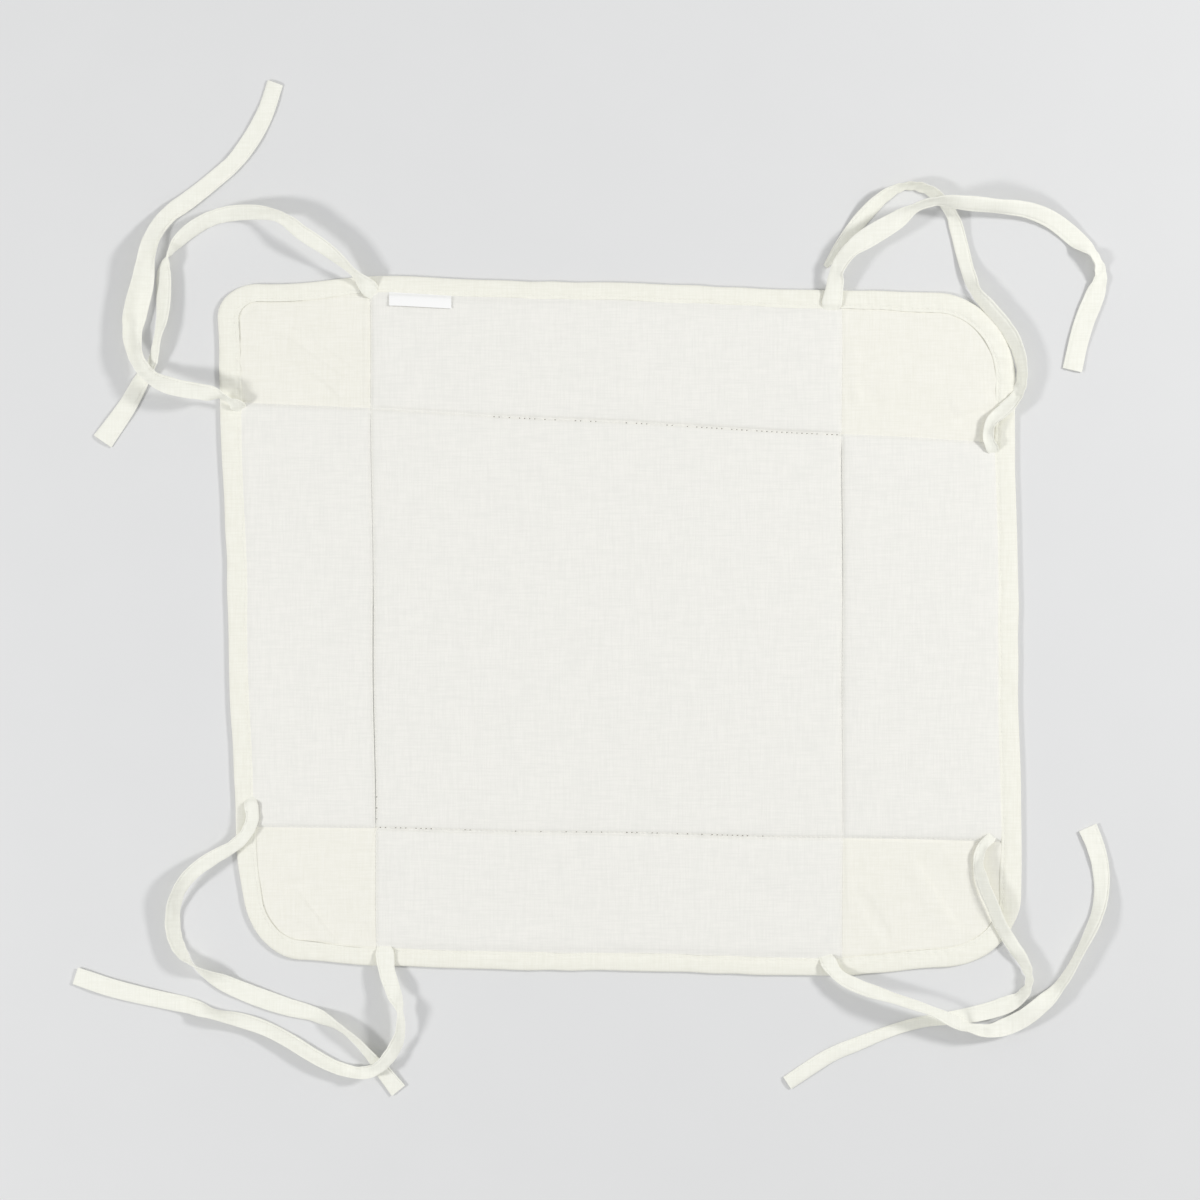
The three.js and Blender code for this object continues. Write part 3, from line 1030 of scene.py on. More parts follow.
@dataclass
class BindingRun:
    """One length of the folded tape round the rim."""

    shop: Workshop
    profile: BindingProfile = BindingProfile()
    step: float = 1.1 * MM

    def spread(self, first: Side, last: Side, run: Array) -> Array:
        """How much wider than the plain section the tape is along a run.

        Args:
            first: the side whose tape it starts as.
            last: the side whose tape it would meet at the far end.
            run: share of the way along.

        Returns:
            The factor on the inset.
        """
        ends, sides = self.profile.ends_width, self.profile.sides_width
        start = sides if first.axis == 0 else ends
        far = sides if last.axis == 0 else ends
        middle = (start + far) / 2
        return (start + (middle - start) * smooth(run)) / self.profile.width

    def piece(
        self,
        name: str,
        where: Callable[[Array, Array], tuple[Array, Array]],
        length: float,
        tight: float,
        sides: tuple[Side, Side],
    ) -> tuple[bpy.types.Object, Array]:
        """Sweeps the tape and finds its stitch line.

        Args:
            name: the piece's name.
            where: plan x and y from the inset and the share of the run.
            length: the run's length.
            tight: how much the tape puckers, 0 on a straight run and 1 round a tight corner.
            sides: the side it lies on and the one beyond its far end.

        Returns:
            The piece, and the points of its stitch line.
        """
        lay = self.shop.lay
        outer, inner = self.profile.faces(lay.rim_level)
        rows = max(8, round(length / self.step))
        share = np.linspace(0, 1, rows)
        faces = []
        for face in (outer, inner):
            inset, run = np.meshgrid(face[:, 0], share, indexing="xy")
            inset = inset * self.spread(*sides, run)
            high = np.broadcast_to(face[:, 1], inset.shape)
            x, y = where(inset, run)
            lx, ly = lay.place(x, y)
            travel = lx + 0.7 * ly + run * length * 0.4
            deep = smooth(inset / self.profile.width)
            slit = tight * smooth((inset - 5.5 * MM) / (2.5 * MM)) * np.exp(-(((run - 0.72) / 0.2) ** 2))
            upper = smooth((high - 1.2 * MM) / MM)
            calm = np.sin(math.pi * np.clip(run, 0, 1)) ** 0.5
            ripple = np.sin(travel / (1.25 * MM) + 1.8 * np.sin(travel / 0.009))
            slow = np.sin(lx / 0.013 + ly / 0.011)
            lift = (0.05 + 0.18 * tight * calm) * deep * ripple + 0.1 * slow * deep + 0.6 * slit
            edge = smooth((inset - 6.5 * MM) / (2 * MM)) * upper
            shift = edge * MM * (0.22 * np.sin(lx / 0.0083 + ly / 0.0061) + 0.16 * slow)
            wander = 0.16 * MM * calm * np.sin(travel / 0.0065 + 1.3 * np.sin(travel / 0.017))
            x, y = where(inset + shift + wander, run)
            below = self.profile.tape * len(faces)
            faces.append(lay.at(x, y, np.minimum(high + upper * lift * MM, lay.fold_clear - below)))
        obj = Slab(name, faces[0], faces[1]).build(self.shop.finishes.tape)
        seam = np.argmin(np.abs(outer[: len(outer) // 2, 0] - (self.profile.width - self.profile.stitch_in)))
        return obj, faces[0][:, seam] + np.array([0.0, 0.0, 0.05 * MM])


@dataclass
class SideBinding:
    """The tape along one side's rim, and its stitches."""

    shop: Workshop
    side: Side

    def build(self) -> None:
        """Makes the tape and its stitch row."""
        plan, side = self.shop.lay.plan, self.side
        ends = plan.ends(side)

        def where(inset: Array, run: Array) -> tuple[Array, Array]:
            """Plan places from the inset and the share of the run."""
            out = plan.rim[side] - side.out * inset
            along = ends[0] + (ends[1] - ends[0]) * run
            return (out, along) if side.axis == 0 else (along, out)

        name = f"side_{side.value}"
        maker = BindingRun(self.shop)
        tape, line = maker.piece(f"binding_{name}", where, ends[1] - ends[0], 0.0, (side, side))
        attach(tape, side.body)
        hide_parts(f"{name}_binding")
        report(tape)
        row = self.shop.stitches.row(f"binding_stitches_{name}", [line], self.shop.finishes.thread)
        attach(row, side.body)


@dataclass
class CornerHalf:
    """Half of a corner square, on the crease of one side: two cloths and the tape on its rim."""

    shop: Workshop
    corner: Corner
    side: Side
    rings: int = 92
    spokes: int = 46
    edge_inset: float = 0.5 * MM

    @property
    def tag(self) -> str:
        """The half's name."""
        return f"corner_{self.corner.tag}_{self.side.value}"

    @property
    def other(self) -> Side:
        """The side that the neighbouring half hangs on."""
        return self.corner.across if self.side is self.corner.along else self.corner.along

    def to_plan(self, u: Array, v: Array) -> tuple[Array, Array]:
        """Turns places on this half into plan places.

        Args:
            u: distance from the half's crease.
            v: distance out along the crease.

        Returns:
            Plan x and y.
        """
        fold = self.shop.lay.plan.fold
        out = fold[self.side] + self.side.out * v
        away = fold[self.other] + self.other.out * u
        return (out, away) if self.side.axis == 0 else (away, out)

    def sizes(self) -> tuple[float, float, float]:
        """Reach of this side, reach of the other one, and the corner's radius."""
        plan = self.shop.lay.plan
        return plan.height(self.side), plan.height(self.other), plan.radius[self.corner]

    def rim_reach(self, turn: Array, inset: float) -> Array:
        """Distance from the base's corner to the rim along each ray.

        Args:
            turn: the ray's angle from the crease.
            inset: how far inside the rim to stop.

        Returns:
            The distance for each ray.
        """
        low, high = np.zeros_like(turn), np.full_like(turn, PAST_RIM)
        for _ in range(BISECTIONS):
            mid = (low + high) / 2
            x, y = self.to_plan(mid * np.sin(turn), mid * np.cos(turn))
            inside = self.shop.lay.plan.inset(x, y) > inset
            low, high = np.where(inside, mid, low), np.where(inside, high, mid)
        return low

    def cloth_grid(self) -> tuple[Array, Array]:
        """Plan places on rays from the base's corner, closest together at the crease.

        Returns:
            Plan x and y.
        """
        turn = (math.pi / 4) * np.linspace(0, 1, self.spokes) ** 1.35
        reach = self.rim_reach(turn, self.edge_inset)
        share = np.linspace(0, 1, self.rings) ** 1.1
        out = share[:, None] * reach[None, :]
        return self.to_plan(out * np.sin(turn)[None, :], out * np.cos(turn)[None, :])

    def rim_run(self, inset: Array, run: Array) -> tuple[Array, Array]:
        """Plan places along the rim, from the crease to the diagonal.

        Args:
            inset: how far in from the rim.
            run: share of the way along.

        Returns:
            Plan x and y.
        """
        tall, wide, radius = self.sizes()
        r = np.maximum(radius - inset, 0.2 * MM)
        straight = wide - radius

        def spot(s: Array) -> tuple[Array, Array]:
            """Distance from and along the crease, that far along the rim."""
            turn = np.clip((s - straight) / r, 0, math.pi / 2)
            u = np.where(s < straight, s, straight + r * np.sin(turn))
            past = np.maximum(s - straight - r * math.pi / 2, 0)
            v = tall - radius + r * np.cos(turn) - past
            return u, v

        low, high = np.zeros_like(inset), np.full_like(inset, PAST_RIM)
        for _ in range(BISECTIONS):
            mid = (low + high) / 2
            u, v = spot(mid)
            low, high = np.where(u < v, mid, low), np.where(u < v, high, mid)
        return self.to_plan(*spot(low * run))

    def attach(self, obj: bpy.types.Object) -> None:
        """Bakes a piece's transform into its mesh; the ends of a bend about the crease are worked out but
        not used.

        A bend beyond the crease would make the two halves of an ear cross.

        Args:
            obj: the piece.
        """
        axis, line = self.other.axis, self.shop.lay.plan.fold[self.other]
        start, end = [0.0, 0.0, 0.0], [0.0, 0.0, 0.0]
        start[axis] = line - self.other.out * self.shop.bend
        end[axis] = line + self.other.out * self.shop.bend
        self.tag
        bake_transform(obj)

    def area(self) -> float:
        """The half's flat area.

        Returns:
            Square metres.
        """
        turn = np.linspace(0, math.pi / 4, 400)
        wedge = self.rim_reach(turn, self.edge_inset) ** 2 / 2
        return float(np.sum((wedge[1:] + wedge[:-1]) / 2 * np.diff(turn)))

    def flat(self) -> tuple[float, float]:
        """The rectangle that the half is cut from.

        Returns:
            Its width and length.
        """
        turn = np.linspace(0, math.pi / 4, 200)
        reach = self.rim_reach(turn, self.edge_inset)
        return float((reach * np.sin(turn)).max()), float((reach * np.cos(turn)).max())

    def build(self) -> None:
        """Makes the two cloths, the tape and its stitches."""
        lay, finishes = self.shop.lay, self.shop.finishes
        x, y = self.cloth_grid()
        top = Slab(f"lining_{self.tag}", lay.lining(x, y), lay.lining(x, y, lay.thickness), pole=True)
        lining = top.build(finishes.corner, lay.lining_normals(x, y))
        x, y = x[::3], y[::3]
        under = Slab(f"shell_{self.tag}", lay.shell(x, y), lay.shell(x, y, lay.thickness), pole=True)
        shell = under.build(finishes.shell)
        tall, wide, radius = self.sizes()
        length = wide - radius + radius * math.pi / 4
        maker = BindingRun(self.shop)
        tight = min(1.0, 20 * MM / radius)
        name = f"binding_{self.tag}"
        tape, line = maker.piece(name, self.rim_run, length, tight, (self.side, self.other))
        row = self.shop.stitches.row(f"binding_stitches_{self.tag}", [line], finishes.thread)
        pieces = (
            (lining, "lining", "corner_lining"),
            (shell, "shell", "shell"),
            (tape, "binding", "binding"),
        )
        for obj, kind, slot in pieces:
            self.attach(obj)
            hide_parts(f"{self.tag}_{kind}")
            report(obj)
        self.attach(row)
        flat, area = self.flat(), self.area()


@dataclass
class FoldStitches:
    """The rows of stitches that part the base, the sides and the corners."""

    shop: Workshop
    step: float = 0.8 * MM
    side_step: float = 0.55 * MM
    thread: float = 0.26 * MM
    # Size of the dark dots that paint the shade in the needle punctures
    hole_length: float = 0.62 * MM
    hole_width: float = 0.5 * MM

    def line(self, side: Side, low: float, high: float) -> Array:
        """Points along a fold line, on the upper cloth.

        Args:
            side: whose line it is.
            low: where to start along it.
            high: where to stop.

        Returns:
            The points.
        """
        plan, lay = self.shop.lay.plan, self.shop.lay
        run = np.linspace(low, high, max(6, round((high - low) / self.step)))
        still = np.full_like(run, plan.fold[side] - side.out * self.side_step)
        x, y = (still, run) if side.axis == 0 else (run, still)
        return lay.lining(x, y) + np.array([0.0, 0.0, 0.03 * MM])

    def build(self) -> None:
        """Makes the base's rows, the sides' rows and the dark dots of painted shade at the needle punctures.
        """
        plan, stitches, finishes = self.shop.lay.plan, self.shop.stitches, self.shop.finishes
        rows = []
        for side in Side:
            ends = plan.ends(side)
            rows.append(self.line(side, ends[0] + MM, ends[1] - MM))
        base = stitches.row("fold_stitches_base", rows, finishes.thread, width=self.thread, seed=11)
        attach(base, "base")
        report(base)
        for side in Side:
            rows = []
            for other in (s for s in Side if s.axis != side.axis):
                near = plan.fold[side] + side.out * MM
                far = plan.rim[side] - side.out * TAPE_COVER
                rows.append(self.line(other, *sorted((near, far))))
            name = f"crease_stitches_{side.value}"
            row = stitches.row(name, rows, finishes.thread, width=self.thread, share=0.8, seed=17)
            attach(row, side.body)
            report(row)
        self.holes()

    def holes(self) -> None:
        """Makes the dark dots of painted shade where needle punctures show beside the stitches."""
        runs = (
            (Side.NORTH, 0.69, 0.99, 0.9),
            (Side.NORTH, 0.25, 0.67, 0.35),
            (Side.SOUTH, 0.01, 0.12, 0.85),
            (Side.SOUTH, 0.69, 0.83, 0.7),
            (Side.SOUTH, 0.16, 0.67, 0.3),
            (Side.WEST, 0.01, 0.13, 0.35),
        )
        for k, (side, first, last, share) in enumerate(runs):
            low, high = self.shop.lay.plan.ends(side)
            line = self.line(side, low + (high - low) * first, low + (high - low) * last)
            hole = self.shop.stitches.row(
                f"needle_holes_{k + 1}",
                [line],
                self.shop.finishes.hole,
                length=self.hole_length,
                width=self.hole_width,
                share=share,
                seed=29 + k,
            )
            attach(hole, "base")


@dataclass
class Label:
    """A small blank woven label, its upper edge caught under the tape."""

    shop: Workshop
    length: float = 28 * MM
    width: float = 7.2 * MM
    thickness: float = 0.3 * MM
    caught: float = 2.1 * MM

    def build(self) -> None:
        """Makes the label."""
        low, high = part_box("label")
        top = high.y + self.caught
        x, y = np.meshgrid(
            np.linspace(low.x, low.x + self.length, 57),
            np.linspace(top - self.width, top, 19),
            indexing="ij",
        )
        cloth = self.shop.lay.lining(x, y)
        free = (top - y) / self.width
        curl = MM * (0.5 * free**2 * (0.7 + 0.3 * np.sin((x - low.x) / 0.006)))
        tucked = smooth(1.0 - free / 0.2)
        height = np.maximum(cloth[..., 2], self.shop.lay.rim_level) + 0.25 * MM + curl
        height = height + (self.shop.lay.rim_level - 0.1 * MM - height) * tucked
        lx, ly = self.shop.lay.place(x, y)
        face = np.stack([lx, ly, height + self.thickness], axis=-1)
        back = np.stack([lx, ly, height], axis=-1)
        obj = Slab("label_ribbon", face, back).build(self.shop.finishes.ribbon)
        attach(obj, Side.NORTH.body)
        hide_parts("label")
        report(obj)


# Each row: x, y and height in metres, roll in degrees, and share of the full width
TIE_ROUTES: dict[str, list[tuple[float, float, float, float, float]]] = {
    "tie_nw_north": [
        (-0.1145, 0.1530, 0.0035, 0, 1), (-0.1230, 0.1615, 0.0065, 62, 0.85),
        (-0.1340, 0.1715, 0.0095, 25, 0.85), (-0.1460, 0.1795, 0.0105, 20, 0.86),
        (-0.1565, 0.1870, 0.0095, 35, 0.88), (-0.1690, 0.1890, 0.0065, 38, 1.05),
        (-0.1840, 0.1870, 0.0026, 40, 1.05), (-0.1955, 0.1805, 0.0009, 44, 1.05),
        (-0.2050, 0.1715, 0.0008, 60, 0.88), (-0.2080, 0.1640, 0.0008, 140, 0.98),
        (-0.2085, 0.1530, 0.0008, 150, 1.02), (-0.2095, 0.1405, 0.0008, 138, 0.98),
        (-0.2115, 0.1315, 0.0008, 120, 0.92), (-0.2140, 0.1205, 0.0008, 142, 0.88),
        (-0.2190, 0.1120, 0.0008, 170, 0.92), (-0.2250, 0.1015, 0.0008, 180, 1.04),
        (-0.2320, 0.0910, 0.0008, 180, 1.16), (-0.2365, 0.0845, 0.0008, 180, 1.24),
    ],
    "tie_nw_west": [
        (-0.1735, 0.0990, 0.0035, 20, 1), (-0.1810, 0.1045, 0.0075, 66, 0.8),
        (-0.1910, 0.1070, 0.0125, -8, 0.95), (-0.2040, 0.1095, 0.0130, -5, 1),
        (-0.2150, 0.1140, 0.0090, -20, 0.95), (-0.2215, 0.1225, 0.0050, -36, 1.05),
        (-0.2235, 0.1330, 0.0032, -30, 1.3), (-0.2215, 0.1445, 0.0026, -24, 1.42),
        (-0.2185, 0.1570, 0.0026, -28, 1.34), (-0.2165, 0.1680, 0.0026, -34, 1.16),
        (-0.2130, 0.1785, 0.0026, -30, 1.05), (-0.2070, 0.1870, 0.0022, -12, 1),
        (-0.1980, 0.1940, 0.0012, 0, 1), (-0.1865, 0.2030, 0.0008, 0, 1),
        (-0.1765, 0.2115, 0.0008, 0, 1), (-0.1690, 0.2220, 0.0008, 0, 1),
        (-0.1630, 0.2335, 0.0008, 0, 0.98), (-0.1580, 0.2475, 0.0008, 0, 0.93),
    ],
    "tie_ne_east": [
        (0.1690, 0.0790, 0.0046, 0, 0.8), (0.1662, 0.0860, 0.0050, 18, 0.76),
        (0.1675, 0.0930, 0.0052, 28, 0.8), (0.1740, 0.0995, 0.0046, 28, 0.86),
        (0.1795, 0.1060, 0.0038, 36, 0.9), (0.1815, 0.1145, 0.0036, 54, 1),
        (0.1800, 0.1245, 0.0036, 50, 1), (0.1750, 0.1350, 0.0036, 40, 1.05),
        (0.1675, 0.1440, 0.0036, 42, 0.95), (0.1605, 0.1525, 0.0036, 48, 0.95),
        (0.1570, 0.1610, 0.0026, 20, 0.8), (0.1545, 0.1705, 0.0012, 8, 0.82),
        (0.1520, 0.1800, 0.0008, 10, 0.8), (0.1490, 0.1885, 0.0008, 30, 0.8),
        (0.1435, 0.1955, 0.0008, 50, 0.9), (0.1360, 0.2000, 0.0008, 58, 0.95),
        (0.1275, 0.2005, 0.0008, 60, 0.95), (0.1195, 0.1965, 0.0008, 48, 0.95),
        (0.1125, 0.1900, 0.0008, 25, 0.9), (0.1055, 0.1820, 0.0008, 10, 0.86),
        (0.0985, 0.1730, 0.0008, 4, 0.7), (0.0920, 0.1640, 0.0008, 0, 0.3),
    ],
    "tie_ne_north": [
        (0.0950, 0.1485, 0.0036, 0, 1.12), (0.0960, 0.1545, 0.0046, 0, 1),
        (0.0975, 0.1630, 0.0070, 24, 1), (0.1030, 0.1710, 0.0085, 10, 1),
        (0.1125, 0.1780, 0.0100, -6, 1.14), (0.1235, 0.1850, 0.0115, -20, 1.1),
        (0.1325, 0.1910, 0.0125, -64, 1.1), (0.1420, 0.1940, 0.0130, -66, 1.1),
        (0.1550, 0.1930, 0.0120, -42, 1), (0.1705, 0.1915, 0.0085, -42, 1),
        (0.1840, 0.1895, 0.0045, -25, 1), (0.1950, 0.1850, 0.0020, -8, 1.03),
        (0.2055, 0.1770, 0.0009, 0, 1.03), (0.2140, 0.1680, 0.0008, 50, 1),
        (0.2165, 0.1595, 0.0008, 20, 0.92), (0.2140, 0.1500, 0.0008, 0, 1.1),
        (0.2100, 0.1395, 0.0008, 0, 1.13), (0.2065, 0.1275, 0.0008, 0, 1.13),
        (0.2040, 0.1170, 0.0008, 0, 1.13),
    ],
    "tie_sw_west": [
        (-0.1695, -0.0790, 0.0046, 0, 0.8), (-0.1685, -0.0870, 0.0046, 10, 0.88),
        (-0.1715, -0.0940, 0.0044, 10, 0.82), (-0.1775, -0.0995, 0.0055, 16, 0.8),
        (-0.1865, -0.1045, 0.0075, 12, 0.84), (-0.1955, -0.1110, 0.0085, 22, 0.88),
        (-0.2020, -0.1195, 0.0065, 38, 1), (-0.2050, -0.1300, 0.0036, 40, 1.1),
        (-0.2040, -0.1405, 0.0014, 40, 1.08), (-0.1995, -0.1490, 0.0012, 60, 1),
        (-0.1920, -0.1555, 0.0008, 114, 0.95), (-0.1810, -0.1615, 0.0008, 166, 1),
        (-0.1680, -0.1670, 0.0008, 180, 1.05), (-0.1530, -0.1725, 0.0008, 180, 1),
        (-0.1400, -0.1760, 0.0008, 170, 0.88), (-0.1305, -0.1805, 0.0008, 124, 0.95),
        (-0.1220, -0.1870, 0.0008, 118, 0.92), (-0.1145, -0.1950, 0.0008, 136, 0.9),
        (-0.1085, -0.2025, 0.0008, 168, 0.88), (-0.1020, -0.2105, 0.0008, 180, 0.98),
    ],
    "tie_sw_south": [
        (-0.1085, -0.1485, 0.0036, 0, 1.05), (-0.1075, -0.1560, 0.0046, 12, 1),
        (-0.1045, -0.1650, 0.0065, 10, 0.86), (-0.1015, -0.1740, 0.0075, 70, 0.95),
        (-0.1015, -0.1840, 0.0075, 46, 0.95), (-0.1055, -0.1935, 0.0060, 30, 0.92),
        (-0.1125, -0.2005, 0.0044, 15, 0.84), (-0.1210, -0.2025, 0.0036, -25, 0.84),
        (-0.1305, -0.2000, 0.0020, -38, 0.9), (-0.1405, -0.1945, 0.0008, -38, 0.9),
        (-0.1515, -0.1878, 0.0008, -34, 0.9), (-0.1630, -0.1820, 0.0008, -28, 0.9),
        (-0.1745, -0.1780, 0.0008, -30, 0.9), (-0.1865, -0.1750, 0.0008, -60, 0.9),
        (-0.1960, -0.1722, 0.0008, -15, 0.9), (-0.2070, -0.1700, 0.0008, 0, 0.96),
        (-0.2215, -0.1665, 0.0008, 0, 1), (-0.2350, -0.1630, 0.0008, 0, 1),
        (-0.2490, -0.1585, 0.0008, 0, 1),
    ],
    "tie_se_east": [
        (0.1690, -0.0945, 0.0046, 0, 0.62), (0.1635, -0.0995, 0.0042, -20, 0.7),
        (0.1615, -0.1070, 0.0036, -34, 0.8), (0.1635, -0.1165, 0.0036, -40, 0.9),
        (0.1675, -0.1255, 0.0038, -46, 0.9), (0.1715, -0.1350, 0.0040, -35, 0.85),
        (0.1770, -0.1445, 0.0040, -15, 0.78), (0.1825, -0.1530, 0.0030, -48, 0.85),
        (0.1845, -0.1610, 0.0016, -68, 1), (0.1805, -0.1680, 0.0008, -52, 1.1),
        (0.1710, -0.1725, 0.0008, -32, 1.1), (0.1595, -0.1755, 0.0008, -25, 0.95),
        (0.1485, -0.1775, 0.0008, -15, 0.74), (0.1380, -0.1790, 0.0008, 0, 0.66),
        (0.1275, -0.1815, 0.0008, 0, 0.66), (0.1170, -0.1850, 0.0008, 0, 0.7),
        (0.1060, -0.1895, 0.0008, 0, 0.76), (0.0955, -0.1940, 0.0008, 0, 0.82),
        (0.0845, -0.2005, 0.0008, 0, 0.86), (0.0745, -0.2070, 0.0008, 0, 0.82),
    ],
    "tie_se_south": [
        (0.0915, -0.1495, 0.0036, 0, 0.95), (0.0975, -0.1580, 0.0055, 10, 0.85),
        (0.1070, -0.1630, 0.0080, 15, 0.8), (0.1175, -0.1665, 0.0100, 40, 0.86),
        (0.1280, -0.1700, 0.0110, 52, 0.86), (0.1395, -0.1740, 0.0105, 56, 0.86),
        (0.1500, -0.1788, 0.0085, 42, 0.88), (0.1585, -0.1825, 0.0065, 60, 0.95),
        (0.1660, -0.1835, 0.0050, 14, 0.9), (0.1740, -0.1815, 0.0038, 0, 1.05),
        (0.1815, -0.1775, 0.0028, 0, 1.05), (0.1895, -0.1710, 0.0024, 10, 0.96),
        (0.1970, -0.1640, 0.0012, 48, 0.95), (0.2025, -0.1560, 0.0008, 66, 0.95),
        (0.2070, -0.1475, 0.0008, 66, 0.95), (0.2115, -0.1385, 0.0008, 60, 0.95),
        (0.2155, -0.1290, 0.0008, 44, 0.9), (0.2175, -0.1185, 0.0008, 18, 0.93),
        (0.2170, -0.1080, 0.0008, 0, 1), (0.2145, -0.0990, 0.0008, 0, 1.03),
        (0.2110, -0.0910, 0.0008, 0, 1.08),
    ],
}


class Route:
    """A smooth run through a tie's rows, evenly spaced."""

    def __init__(self, rows: list[tuple[float, float, float, float, float]], step: float) -> None:
        """Samples a centripetal Catmull-Rom run.

        Args:
            rows: the tie's rows.
            step: distance between samples.
        """
        key = np.array(rows)
        key = np.vstack([2 * key[0] - key[1], key, 2 * key[-1] - key[-2]])
        found = []
        for k in range(1, len(key) - 2):
            quad = key[k - 1 : k + 3]
            gaps = np.linalg.norm(np.diff(quad[:, :3], axis=0), axis=1) ** 0.5
            t = np.concatenate([[0.0], np.cumsum(gaps)])
            s = np.linspace(t[1], t[2], 40, endpoint=False)[:, None]
            a = [((t[i + 1] - s) * quad[i] + (s - t[i]) * quad[i + 1]) / gaps[i] for i in range(3)]
            b = [
                ((t[i + 2] - s) * a[i] + (s - t[i]) * a[i + 1]) / (t[i + 2] - t[i])
                for i in range(2)
            ]
            found.append(((t[2] - s) * b[0] + (s - t[1]) * b[1]) / (t[2] - t[1]))
        dense = np.vstack([*found, key[-2][None]])
        run = np.concatenate([[0.0], np.cumsum(np.linalg.norm(np.diff(dense[:, :3], axis=0), axis=1))])
        even = np.linspace(0, run[-1], max(8, round(run[-1] / step)))
        self.values = np.stack([np.interp(even, run, dense[:, k]) for k in range(5)], axis=1)
        self.run = even


